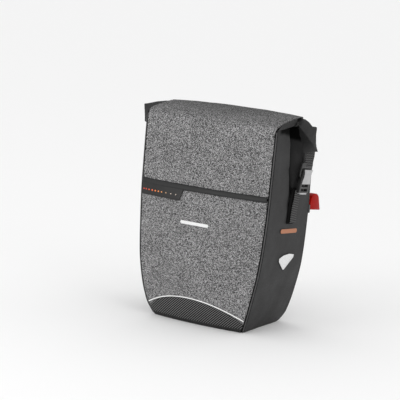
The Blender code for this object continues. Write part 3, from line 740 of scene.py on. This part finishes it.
# Height share above the foot of the fold, where it starts, is deepest and ends in y, depth share
FOLD_ROWS = [
    ("foot", 0.00, -0.080, -0.066, -0.048, 0.00),
    ("low", 0.25, -0.088, -0.066, -0.046, 0.16),
    ("middle", 0.60, -0.092, -0.064, -0.034, 0.50),
    ("high", 0.85, -0.098, -0.066, -0.020, 0.85),
    ("top", 1.00, -0.104, -0.068, -0.012, 1.00),
]


# Where the groove of the fold lies at its foot and top, and how far the painted shade
# reaches down from the roof's lip
GROOVE_FOOT = -0.078
GROOVE_TOP = -0.056
LIP_SHADE = 0.012


def fold_rise(z):
    return min(max((z - FOLD_FOOT) / (FRONT_HEIGHT - FOLD_FOOT), 0.0), 1.0)


def fold_share(y, z):
    """Share of the fold at a place on the side: 1 along its deepest line."""
    rise = fold_rise(z)
    start, deep, end = (smooth_row(FOLD_ROWS, rise, column) for column in (1, 2, 3))
    share = (y - start) / (deep - start) if y < deep else (end - y) / (end - deep)
    share = min(max(share, 0.0), 1.0)
    return share * share * (3.0 - 2.0 * share)


def fold_in(y, z):
    """How far the side lies inside its flat plane."""
    return FOLD_DEPTH * smooth_row(FOLD_ROWS, fold_rise(z), 4) * fold_share(y, z)


def fold_painted_shade(y, z):
    """Share of painted shade in the cloth: along the groove of the fold and under the roof's lip."""
    rise = fold_rise(z)
    away = (y - mix(GROOVE_FOOT, GROOVE_TOP, rise)) / mix(0.010, 0.012, rise)
    groove = math.exp(-away * away) * min(rise / 0.25, 1.0)
    under = z - side_top(y) + LIP_SHADE + 0.25 * max(y + 0.120, 0.0)
    corner = min(max((y + 0.142) / 0.012, 0.0), 1.0)
    return max(groove, min(max(under / 0.006, 0.0), 1.0) * corner)


def crease(y, z, start, end, wide):
    """Share of a pulled fold at a place: 1 on the line between two points, 0 away from it."""
    line = Vector(end) - Vector(start)
    here = Vector((y, z)) - Vector(start)
    along = min(max(here.dot(line) / line.length_squared, 0.0), 1.0)
    away = (here - line * along).length / wide
    return math.exp(-away * away) * math.sin(math.pi * (0.1 + 0.8 * along))


# Pulled folds of the side: start y and height, end y and height, width, depth
SIDE_CREASES = [
    ((-0.035, 0.330), (-0.105, 0.372), 0.007, 0.0022),
    ((-0.040, 0.300), (-0.120, 0.322), 0.008, -0.0016),
    ((-0.060, 0.262), (-0.135, 0.240), 0.010, -0.0012),
    ((-0.015, 0.270), (-0.012, 0.350), 0.006, 0.0014),
    ((-0.030, 0.060), (-0.120, 0.095), 0.012, -0.0013),
    ((-0.025, 0.035), (-0.100, 0.050), 0.008, 0.0010),
]


def side_sheet(side):
    def point(u, v):
        z = v * ROLL_UNDER
        for _ in range(3):
            front = front_edge(z) + 0.0046
            y = mix(front, side_back(z), u)
            z = v * side_top(y)
        wide_at = min(z, FRONT_HEIGHT)
        seam = y - front
        back_seam = side_back(z) - y
        hold = min(seam / 0.015, back_seam / 0.015, 1.0)
        out = 0.0011 * slack(y, z, 4.0 + side) * hold
        for start, end, wide, deep in SIDE_CREASES:
            out += deep * crease(y, z, start, end, wide) * hold
        out += 0.00025 * pucker(seam, z, 0.009) + 0.0002 * pucker(back_seam, z, 0.010)
        x = half_width(wide_at) - fold_in(y, wide_at) + out - 0.0004
        return Vector((side * x, y, z))
    work = laid_cloth(150, 200, point, (side, 0, 0))
    # Painted shade: the depth attribute darkens the groove of the fold and the strip under the roof's lip
    depth = work.loops.layers.float_color.new("depth")
    for vert in work.verts:
        dark = fold_painted_shade(vert.co.y, vert.co.z)
        for loop in vert.link_loops:
            loop[depth] = (dark, dark, dark, 1.0)
    return work


coated, tree, shader, place = start_material("coated_black_cloth", 0.6)
coat_dust = add_group(tree, dust_group, {"Vector": place, "Reach": 16.0})
coat_specks = add_node(tree, "ShaderNodeTexNoise", {"Vector": place, "Scale": 650.0, "Detail": 3.0})
coat_low = mix_colours(tree, coat_specks.outputs["Fac"], (0.013, 0.013, 0.014), (0.026, 0.026, 0.026))
coat_high = mix_colours(tree, coat_specks.outputs["Fac"], (0.020, 0.020, 0.020), (0.034, 0.033, 0.033))
coat_open = mix_colours(tree, coat_dust.outputs["Mask"], coat_low, coat_high)
# Painted shade: near-black colour and dimmed reflection where the depth attribute marks the fold's groove
# and the strip under the roof's lip
coat_fold_shade = add_node(tree, "ShaderNodeAttribute", attribute_name="depth")
paint(tree, shader, coat_fold_shade.outputs["Fac"], coat_open, (0.0015, 0.0015, 0.0015))
coat_fold_gloss_shade = add_node(tree, "ShaderNodeMapRange", {
    "Value": coat_fold_shade.outputs["Fac"], "To Min": 0.30, "To Max": 0.04,
})
tree.links.new(coat_fold_gloss_shade.outputs["Result"], shader.inputs["Specular IOR Level"])
coat_weave = add_group(tree, weave_group, {"Vector": place, "Threads": 3900.0})
coat_height = add_math(tree, "MULTIPLY_ADD", coat_dust.outputs["Mask"], 0.4, coat_weave.outputs["Height"])
add_bump(tree, shader, coat_height, 0.00016, 0.7)
coat_rough = add_node(tree, "ShaderNodeMapRange", {
    "Value": coat_dust.outputs["Mask"], "To Min": 0.52, "To Max": 0.70,
})
tree.links.new(coat_rough.outputs["Result"], shader.inputs["Roughness"])

for side, letter in ((1, "R"), (-1, "L")):
    cloth_wall(
        add_piece("side_cloth_" + letter, side_sheet(side), coated, ["gusset_" + letter]),
        CLOTH,
    )


# Edge piping
# A thin cord, painted a lighter grey than the black trim as painted highlight along its crest, sewn between
# front and side from foot to roof, with a strip of seam cloth painted near black on both sides of it as
# painted shade in the seam.
# Painted highlight: the cord cover is a lighter grey than the black trim, so that its crest shows as a light
# line
piping_highlight_grey, tree, shader, place = start_material("piping_cover_highlight", 0.45, 0.3)
cover_dust = add_group(tree, dust_group, {"Vector": place, "Reach": 60.0})
paint(tree, shader, cover_dust.outputs["Mask"], (0.040, 0.040, 0.041), (0.075, 0.074, 0.074))
cover_weave = add_group(tree, weave_group, {"Vector": place, "Threads": 6000.0})
add_bump(tree, shader, cover_weave.outputs["Height"], 0.00008, 0.6)
# Painted shade: near-black seam cloth with little reflection stands for the shade in the seam on both sides
# of the cord; the side tape is cut from it too
seam_shade_and_tape_black, tree, shader, place = start_material("seam_shade_and_tape_black", 0.8, 0.05)
seam_grain = add_node(tree, "ShaderNodeTexNoise", {"Vector": place, "Scale": 900.0})
paint(tree, shader, seam_grain.outputs["Fac"], (0.001, 0.001, 0.001), (0.006, 0.006, 0.006))
# Share across the seam allowance, distance in from the side, distance back from the front
SEAM_PROFILE = [
    ("under the melange", 0.00, 0.0062, 0.0009),
    ("front", 0.30, 0.0034, 0.0006),
    ("corner", 0.50, 0.0010, 0.0014),
    ("side", 0.70, 0.0006, 0.0036),
    ("under the side", 1.00, 0.0008, 0.0064),
]


def seam_sheet(side):
    def point(u, v):
        z = mix(0.0010, FRONT_HEIGHT - 0.0016, v)
        inset, back = smooth_row(SEAM_PROFILE, u, 1), smooth_row(SEAM_PROFILE, u, 2)
        x = half_width(z) - inset
        y = front_y(x, z) if inset > 0.0010 else front_edge(z)
        return Vector((side * x, y + back + 0.0001 * slack(y, z, 30.0, 0.01), z))
    return laid_cloth(16, 160, point, (side, -1, 0))


for side, letter in ((1, "R"), (-1, "L")):
    def edge_line(share, side=side):
        z = mix(0.0020, FRONT_HEIGHT - 0.0010, share)
        return Vector((side * (half_width(z) - 0.0012), front_edge(z) + 0.0010, z))

    add_piece(
        "edge_cord_" + letter, cord_work(edge_line, 0.0013, 12, 200), piping_highlight_grey,
        ["edge_piping_" + letter],
    )
    cloth_wall(add_piece("edge_seam_shade_" + letter, seam_sheet(side), seam_shade_and_tape_black), 0.0008)


# Base, back and yoke
# The floor is a flat sheet of the coated cloth. The back is stiffened and curves in at
# the foot, and a short yoke slopes up from it to the ridge of the roof.
def base_point(u, v):
    z = 0.0004
    x = mix(-1.0, 1.0, u) * (half_width(0.0) - 0.0024)
    y = mix(front_y(x, 0.0) + 0.0030, -BACK_CORNER - 0.0004, v)
    return Vector((x, y, z + 0.0004 * (1.0 + slack(x, y, 6.0)) * min(u, 1 - u, v, 1 - v) * 4))


base_work = laid_cloth(60, 50, base_point, (0, 0, -1))
cloth_wall(add_piece("base_cloth", base_work, coated, ["base_panel"]), 0.0016)


def back_point(u, v):
    side = mix(-1.0, 1.0, u)
    high = YOKE_LOW - 0.0030
    if v < 0.14:
        turn = math.radians(90.0 * v / 0.14)
        y = -BACK_CORNER + BACK_CORNER * math.sin(turn)
        z = BACK_CORNER - BACK_CORNER * math.cos(turn)
    else:
        y = 0.0
        z = mix(BACK_CORNER, high, (v - 0.14) / 0.86)
    room = (1.0 - abs(side)) * HALF_WIDTH
    hold = min(room / 0.02, max(z, 0.0) / 0.03, (high - z) / 0.03, 1.0)
    y -= 0.0004 * (1.0 + slack(side * 0.15, z, 12.0)) * max(hold, 0.0)
    return Vector((side * (half_width(z) - 0.0002), y - 0.0001, z))


back_work = laid_cloth(90, 130, back_point, (0, 1, 0))
cloth_wall(add_piece("back_cloth", back_work, coated, ["back_panel"]), CLOTH)


def yoke_point(u, v):
    side = mix(-1.0, 1.0, u)
    y = mix(RIDGE_Y + 0.0058, 0.0, v)
    fade = y / RIDGE_Y
    z = yoke_height(y) + RIDGE_CROWN * 0.9 * fade * (1.0 - side * side)
    z += 0.0009 * slack(side * 0.15, y, 15.0, 0.035) * min(v * 6.0, (1.0 - v) * 6.0, 1.0)
    return Vector((side * (HALF_WIDTH - 0.0012), y, z))


yoke_work = laid_cloth(110, 30, yoke_point, (0, 0.3, 1))
cloth_wall(add_piece("yoke_cloth", yoke_work, coated, ["back_yoke"]), CLOTH)


# Roof lip
# Under each side edge of the roof a strip of the trim is turned down and sewn.
LIP_DROP = 0.0105
LIP_BACK = -0.0765


def lip_sheet(side):
    def point(u, v):
        y = mix(front_edge(FRONT_HEIGHT) + 0.0030, LIP_BACK, u)
        high = roof_height(y) - 0.0012
        deep = 0.0022 + LIP_DROP * min(u / 0.28, 1.0) ** 0.7
        z = mix(high, high - deep, v)
        out = 0.0010 + 0.0008 * math.sin(math.pi * v) + 0.0003 * slack(y, z, 2.0, 0.012)
        return Vector((side * (HALF_WIDTH + out - 0.0030 * v * v), y, z))
    return laid_cloth(60, 14, point, (side, 0, 0))


for side, letter in ((1, "R"), (-1, "L")):
    cloth_wall(
        add_piece("roof_lip_" + letter, lip_sheet(side), coated, ["roof_binding_" + letter]),
        0.0012,
    )


# Rolled closure
# The top of the bag is rolled flat under the roof. Its two ends come out at the sides,
# fold down over themselves and hang as thick ears on the straps.

# Each row: front edge, fold line and back edge of the strip, as x, y and height
ROLL_WALL = 0.0050
ROLL_MIDDLE = [
    ((0.000, -0.0930, 0.4075), (0.000, -0.0750, 0.4110), (0.000, -0.0560, 0.4125)),
    ((0.070, -0.0930, 0.4060), (0.070, -0.0750, 0.4098), (0.070, -0.0560, 0.4110)),
    ((0.120, -0.0900, 0.4030), (0.120, -0.0745, 0.4062), (0.120, -0.0560, 0.4075)),
]
EAR_R = [
    ((0.1470, -0.0750, 0.4010), (0.1485, -0.0755, 0.4005), (0.1470, -0.0560, 0.4110)),
    ((0.1490, -0.0740, 0.3960), (0.1530, -0.0760, 0.3965), (0.1600, -0.0670, 0.4110)),
    ((0.1500, -0.0720, 0.3900), (0.1600, -0.0750, 0.3890), (0.1680, -0.0670, 0.4065)),
    ((0.1510, -0.0700, 0.3810), (0.1680, -0.0740, 0.3820), (0.1745, -0.0700, 0.4005)),
    ((0.1520, -0.0630, 0.3680), (0.1740, -0.0680, 0.3720), (0.1795, -0.0580, 0.3985)),
    ((0.1530, -0.0580, 0.3560), (0.1765, -0.0560, 0.3630), (0.1775, -0.0520, 0.3680)),
    ((0.1540, -0.0520, 0.3460), (0.1715, -0.0370, 0.3485), (0.1730, -0.0340, 0.3480)),
]
EAR_L = [
    ((-0.1410, -0.0880, 0.4010), (-0.1410, -0.0745, 0.4075), (-0.1410, -0.0560, 0.4090)),
    ((-0.1520, -0.0920, 0.3970), (-0.1515, -0.0750, 0.4125), (-0.1510, -0.0570, 0.4115)),
    ((-0.1660, -0.0940, 0.3850), (-0.1640, -0.0760, 0.4098), (-0.1640, -0.0580, 0.4085)),
    ((-0.1810, -0.0920, 0.3750), (-0.1790, -0.0820, 0.4060), (-0.1790, -0.0600, 0.4045)),
    ((-0.1915, -0.0890, 0.3853), (-0.1940, -0.0880, 0.4019), (-0.1920, -0.0620, 0.4000)),
    ((-0.1900, -0.0880, 0.3673), (-0.1915, -0.0840, 0.3850), (-0.1910, -0.0600, 0.3820)),
    ((-0.1780, -0.0730, 0.3570), (-0.1840, -0.0660, 0.3600), (-0.1830, -0.0480, 0.3610)),
    ((-0.1570, -0.0500, 0.3460), (-0.1650, -0.0380, 0.3470), (-0.1670, -0.0270, 0.3480)),
]


def through_points(points, share):
    """A place on a smooth curve through points."""
    at = min(max(share, 0.0), 1.0) * (len(points) - 1)
    k = min(int(at), len(points) - 2)
    t = at - k
    p0, p1 = points[max(k - 1, 0)], points[k]
    p2, p3 = points[k + 1], points[min(k + 2, len(points) - 1)]
    return 0.5 * (
        2.0 * p1 + (p2 - p0) * t + (2.0 * p0 - 5.0 * p1 + 4.0 * p2 - p3) * t**2
        + (3.0 * p1 - p0 - 3.0 * p2 + p3) * t**3
    )


def straight_points(points, share):
    """A place on straight lines through points, so that the creases stay crisp."""
    at = min(max(share, 0.0), 1.0) * (len(points) - 1)
    k = min(int(at), len(points) - 2)
    return points[k].lerp(points[k + 1], at - k)


roll_left = [[(-x, y, z) for x, y, z in row] for row in reversed(ROLL_MIDDLE[1:])]
roll_rows = list(reversed(EAR_L)) + roll_left + ROLL_MIDDLE + EAR_R
roll_fronts = [Vector(row[0]) for row in roll_rows]
roll_folds = [Vector(row[1]) for row in roll_rows]
roll_backs = [Vector(row[2]) for row in roll_rows]


def roll_point(u, v):
    front = straight_points(roll_fronts, v)
    fold = straight_points(roll_folds, v)
    back = straight_points(roll_backs, v)
    if u < 0.5:
        here = front.lerp(fold, u * 2.0)
    else:
        here = fold.lerp(back, u * 2.0 - 1.0)
    ear = min(max((abs(here.x) - 0.144) / 0.01, 0.0), 1.0)
    here.x += 0.0012 * ear * slack(here.y, here.z, 21.0, 0.02)
    here.z += 0.0010 * ear * slack(here.x, here.y, 22.0, 0.02)
    return here


roll_work = laid_cloth(24, 240, roll_point, (0, 0, 1))
for _ in range(2):
    inner = [vert for vert in roll_work.verts if not vert.is_boundary]
    bmesh.ops.smooth_vert(
        roll_work, verts=inner, factor=0.5, use_axis_x=True, use_axis_y=True, use_axis_z=True
    )
rolled_top = add_piece("rolled_top", roll_work, coated, ["rolled_closure"])
cloth_wall(rolled_top, ROLL_WALL, 0.0016)


# Webbing
# Flat black polyester webbing, 25 mm wide: a strap from each ear to its buckle, a tape
# sewn down the side, and the loose end that leaves the buckle and lies on the tape.
def strap_work(rows, side, thick, around=20, along=70):
    """A flat strap between rows of front and back edge points."""
    fronts = [Vector((side * front[0], front[1], front[2])) for front, back in rows]
    backs = [Vector((side * back[0], back[1], back[2])) for front, back in rows]

    def point(a, s):
        front, back = through_points(fronts, s), through_points(backs, s)
        ahead = through_points(fronts, s + 0.01) + through_points(backs, s + 0.01)
        behind = through_points(fronts, s - 0.01) + through_points(backs, s - 0.01)
        wide = back - front
        up = wide.cross(ahead - behind).normalized()
        turn = 2.0 * math.pi * a
        c, n = math.cos(turn), math.sin(turn)
        across = math.copysign(abs(c) ** 0.55, c)
        lift = math.copysign(abs(n) ** 0.7, n)
        return (front + back) / 2.0 + wide * (0.5 * across) + up * (thick / 2.0 * lift)

    return rolled_cloth(around, along, point)


# Turns of the weave in a metre, in radians, across and along the strap
WEAVE_ACROSS = 1500.0
WEAVE_ALONG = 1800.0
webbing, tree, shader, place = start_material("woven_webbing", 0.8, 0.2)
web_parts = add_node(tree, "ShaderNodeSeparateXYZ", {"Vector": place})
web_bend = add_math(tree, "MULTIPLY", web_parts.outputs["Y"], WEAVE_ACROSS)
web_zigzag = add_math(tree, "SINE", web_bend)
web_turn = add_math(tree, "MULTIPLY_ADD", web_parts.outputs["Z"], WEAVE_ALONG, web_zigzag)
web_rib = add_math(tree, "SINE", web_turn)
# Painted light and shade: the crests of the weave are painted grey and the grooves near black
web_crest_light_shade = add_node(tree, "ShaderNodeMapRange", {"Value": web_rib, "From Min": -0.8, "From Max": 1.0})
paint(tree, shader, web_crest_light_shade.outputs["Result"], (0.001, 0.001, 0.001), (0.110, 0.109, 0.109))
add_bump(tree, shader, web_crest_light_shade.outputs["Result"], 0.00035, 0.8)

STRAP_THICK = 0.0018
# Each row: front and back edge of the strap
UPPER_WEBBING = [
    ((0.1560, -0.0496, 0.3513), (0.1640, -0.0275, 0.3505)),
    ((0.1555, -0.0480, 0.3396), (0.1630, -0.0262, 0.3387)),
    ((0.1555, -0.0476, 0.3300), (0.1610, -0.0257, 0.3287)),
    ((0.1560, -0.0474, 0.3190), (0.1585, -0.0234, 0.3170)),
]
SIDE_TAPE = [
    ((0.1465, -0.0715, 0.2790), (0.1465, -0.0470, 0.2760)),
    ((0.1464, -0.0810, 0.2600), (0.1464, -0.0560, 0.2570)),
    ((0.1462, -0.0845, 0.2350), (0.1462, -0.0595, 0.2320)),
    ((0.1459, -0.0865, 0.2115), (0.1459, -0.0615, 0.2090)),
]
LOOSE_END = [
    ((0.1494, -0.0670, 0.2750), (0.1494, -0.0450, 0.2730)),
    ((0.1490, -0.0700, 0.2570), (0.1490, -0.0476, 0.2550)),
    ((0.1486, -0.0745, 0.2400), (0.1486, -0.0520, 0.2378)),
    ((0.1484, -0.0784, 0.2125), (0.1484, -0.0559, 0.2098)),
]
for side, letter in ((1, "R"), (-1, "L")):
    for name, rows, node in (
        ("ear_strap_", UPPER_WEBBING, "upper_webbing_"),
        ("side_tape_", SIDE_TAPE, "strap_tape_"),
        ("loose_end_", LOOSE_END, "lower_strap_"),
    ):
        cloth = seam_shade_and_tape_black if name == "side_tape_" else webbing
        add_piece(name + letter, strap_work(rows, side, STRAP_THICK), cloth, [node + letter])


# Buckles
# Side-release buckles moulded in black plastic, with a light grey hourglass plate set in
# the front and a light bar at the foot. Corners are rounded as the mould leaves them.
def moulded_copy(name, node, round_by, material, segments=3, pose=None):
    """A moulded piece: its CAD solid with the corners rounded, turned as a whole by pose."""
    work = bmesh.new()
    work.from_mesh(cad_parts[node].data)
    bmesh.ops.remove_doubles(work, verts=work.verts, dist=0.00001)
    bmesh.ops.dissolve_limit(work, angle_limit=math.radians(3.0), verts=work.verts, edges=work.edges)
    corners = [edge for edge in work.edges if edge.calc_face_angle(0.0) > math.radians(20.0)]
    bmesh.ops.bevel(
        work, geom=corners, offset=round_by, segments=segments, profile=0.5, affect="EDGES",
        material=-1, clamp_overlap=True,
    )
    bmesh.ops.recalc_face_normals(work, faces=work.faces)
    if pose is not None:
        bmesh.ops.transform(work, matrix=pose, verts=work.verts)
    return add_piece(name, work, material, [node], from_back=False, sharp=35.0)


def moulded_plastic(name, colour, scuffed, roughness):
    """Moulded plastic with a fine grain, a little scuffed."""
    material, tree, shader, place = start_material(name, roughness)
    marks = add_group(tree, dust_group, {"Vector": place, "Reach": 90.0})
    paint(tree, shader, marks.outputs["Mask"], colour, scuffed)
    grain = add_node(tree, "ShaderNodeTexNoise", {"Vector": place, "Scale": 1600.0, "Detail": 2.0})
    add_bump(tree, shader, grain.outputs["Fac"], 0.00006, 0.6)
    return material


black_plastic = moulded_plastic("moulded_black", (0.012, 0.012, 0.012), (0.026, 0.026, 0.026), 0.38)
grey_plastic = moulded_plastic("moulded_light_grey", (0.37, 0.37, 0.38), (0.44, 0.44, 0.44), 0.4)
# The buckle hangs level from the strap with its top leaning out, turned about its foot
BUCKLE_LEVEL = math.radians(10.0)
BUCKLE_LEAN = math.radians(5.5)
for side, letter in ((1, "R"), (-1, "L")):
    foot = Vector((side * 0.150, BACK_PLANE - 0.0535, 0.2635))
    hang = (
        Matrix.Translation(foot) @ Matrix.Rotation(side * BUCKLE_LEAN, 4, "Y")
        @ Matrix.Rotation(BUCKLE_LEVEL, 4, "X") @ Matrix.Translation(-foot)
    )
    for name, node, round_by, plastic, slot in (
        ("buckle_tongue_", "buckle_plug_", 0.0007, black_plastic, "black_plastic"),
        ("buckle_housing_", "buckle_socket_", 0.0008, black_plastic, "black_plastic"),
        ("buckle_face_", "buckle_plate_", 0.0006, grey_plastic, "grey_plastic"),
        ("buckle_foot_bar_", "buckle_bar_", 0.0007, grey_plastic, "grey_plastic"),
    ):
        moulded_copy(name + letter, node + letter, round_by, plastic, pose=hang)


# Side patches
# A light reflective patch with rounded corners and a fine cell pattern, stuck low on
# each side.
patch_sheet, tree, shader, place = start_material("reflective_film", 0.42)
cells = add_node(tree, "ShaderNodeTexVoronoi", {"Vector": place, "Scale": 620.0}, feature="DISTANCE_TO_EDGE")
cell_lines = add_node(tree, "ShaderNodeMapRange", {"Value": cells.outputs["Distance"], "From Max": 0.12})
paint(tree, shader, cell_lines.outputs["Result"], (0.55, 0.55, 0.55), (0.80, 0.80, 0.80))
add_bump(tree, shader, cell_lines.outputs["Result"], 0.0001, 0.5)
for letter in ("R", "L"):
    moulded_copy(
        "side_patch_" + letter, "side_reflector_" + letter, 0.0003, patch_sheet, 2
    )


# Back fittings
# A moulded rail and two hooks carry the bag, and a red hook at the right back edge stops
# it swinging. The photograph hides all but the red one, so the rest are plain.
red_plastic, tree, shader, place = start_material("glossy_red_plastic", 0.25, 0.05)
red_marks = add_group(tree, dust_group, {"Vector": place, "Reach": 70.0})
paint(tree, shader, red_marks.outputs["Mask"], (0.33, 0.004, 0.001), (0.27, 0.003, 0.001))
red_flow = add_node(tree, "ShaderNodeTexNoise", {"Vector": place, "Scale": 160.0})
add_bump(tree, shader, red_flow.outputs["Fac"], 0.00015, 0.4)
moulded_copy("carrier_rail", "mount_rail", 0.0012, black_plastic)
moulded_copy("carrier_hook_R", "top_hook_R", 0.0012, black_plastic)
moulded_copy("carrier_hook_L", "top_hook_L", 0.0012, black_plastic)
moulded_copy("red_hook_block", "hook_base", 0.0008, black_plastic)
moulded_copy("red_hook", "stabiliser_hook", 0.0022, red_plastic, 4)


# Plain marks
# A plain light bar on the front and a plain orange one on the side, both thin reflective
# film with rounded ends.
def pill(u, v, length, tall):
    """A place on a bar with round ends: along it and up from its middle."""
    along = mix(-length / 2.0, length / 2.0, u)
    past = max(abs(along) - (length / 2.0 - tall / 2.0), 0.0) / (tall / 2.0)
    half = tall / 2.0 * math.sqrt(max(1.0 - past * past, 0.002))
    return along, mix(-half, half, v)


FRONT_MARK = (-0.0055, 0.1985, 0.0640, 0.0062)
SIDE_MARK = (-0.0725, 0.1955, 0.0640, 0.0085)


def front_mark_point(u, v):
    along, up = pill(u, v, FRONT_MARK[2], FRONT_MARK[3])
    x, z = FRONT_MARK[0] + along, FRONT_MARK[1] + up
    return Vector((x, front_y(x, z) - 0.0012, z))


def side_mark_point(u, v):
    along, up = pill(u, v, SIDE_MARK[2], SIDE_MARK[3])
    y, z = SIDE_MARK[0] + along, SIDE_MARK[1] + up - 0.09 * along
    return Vector((half_width(z) + 0.0011, y, z))


def film(name, colour):
    material, tree, shader, place = start_material(name, 0.4)
    beads = add_node(tree, "ShaderNodeTexVoronoi", {"Vector": place, "Scale": 1300.0})
    shade = add_node(tree, "ShaderNodeMapRange", {
        "Value": beads.outputs["Distance"], "To Min": 1.1, "To Max": 0.7,
    })
    paint(tree, shader, shade.outputs["Result"], (0.0, 0.0, 0.0), colour)
    add_bump(tree, shader, beads.outputs["Distance"], 0.00008, 0.4)
    return material


cloth_wall(
    add_piece(
        "front_bar_mark", laid_cloth(48, 8, front_mark_point, (0, -1, 0)),
        film("light_film", (0.78, 0.78, 0.78)),
    ),
    0.0003,
)
cloth_wall(
    add_piece(
        "side_bar_mark", laid_cloth(48, 8, side_mark_point, (1, 0, 0)),
        film("orange_film", (0.42, 0.15, 0.06)),
    ),
    0.0003,
)
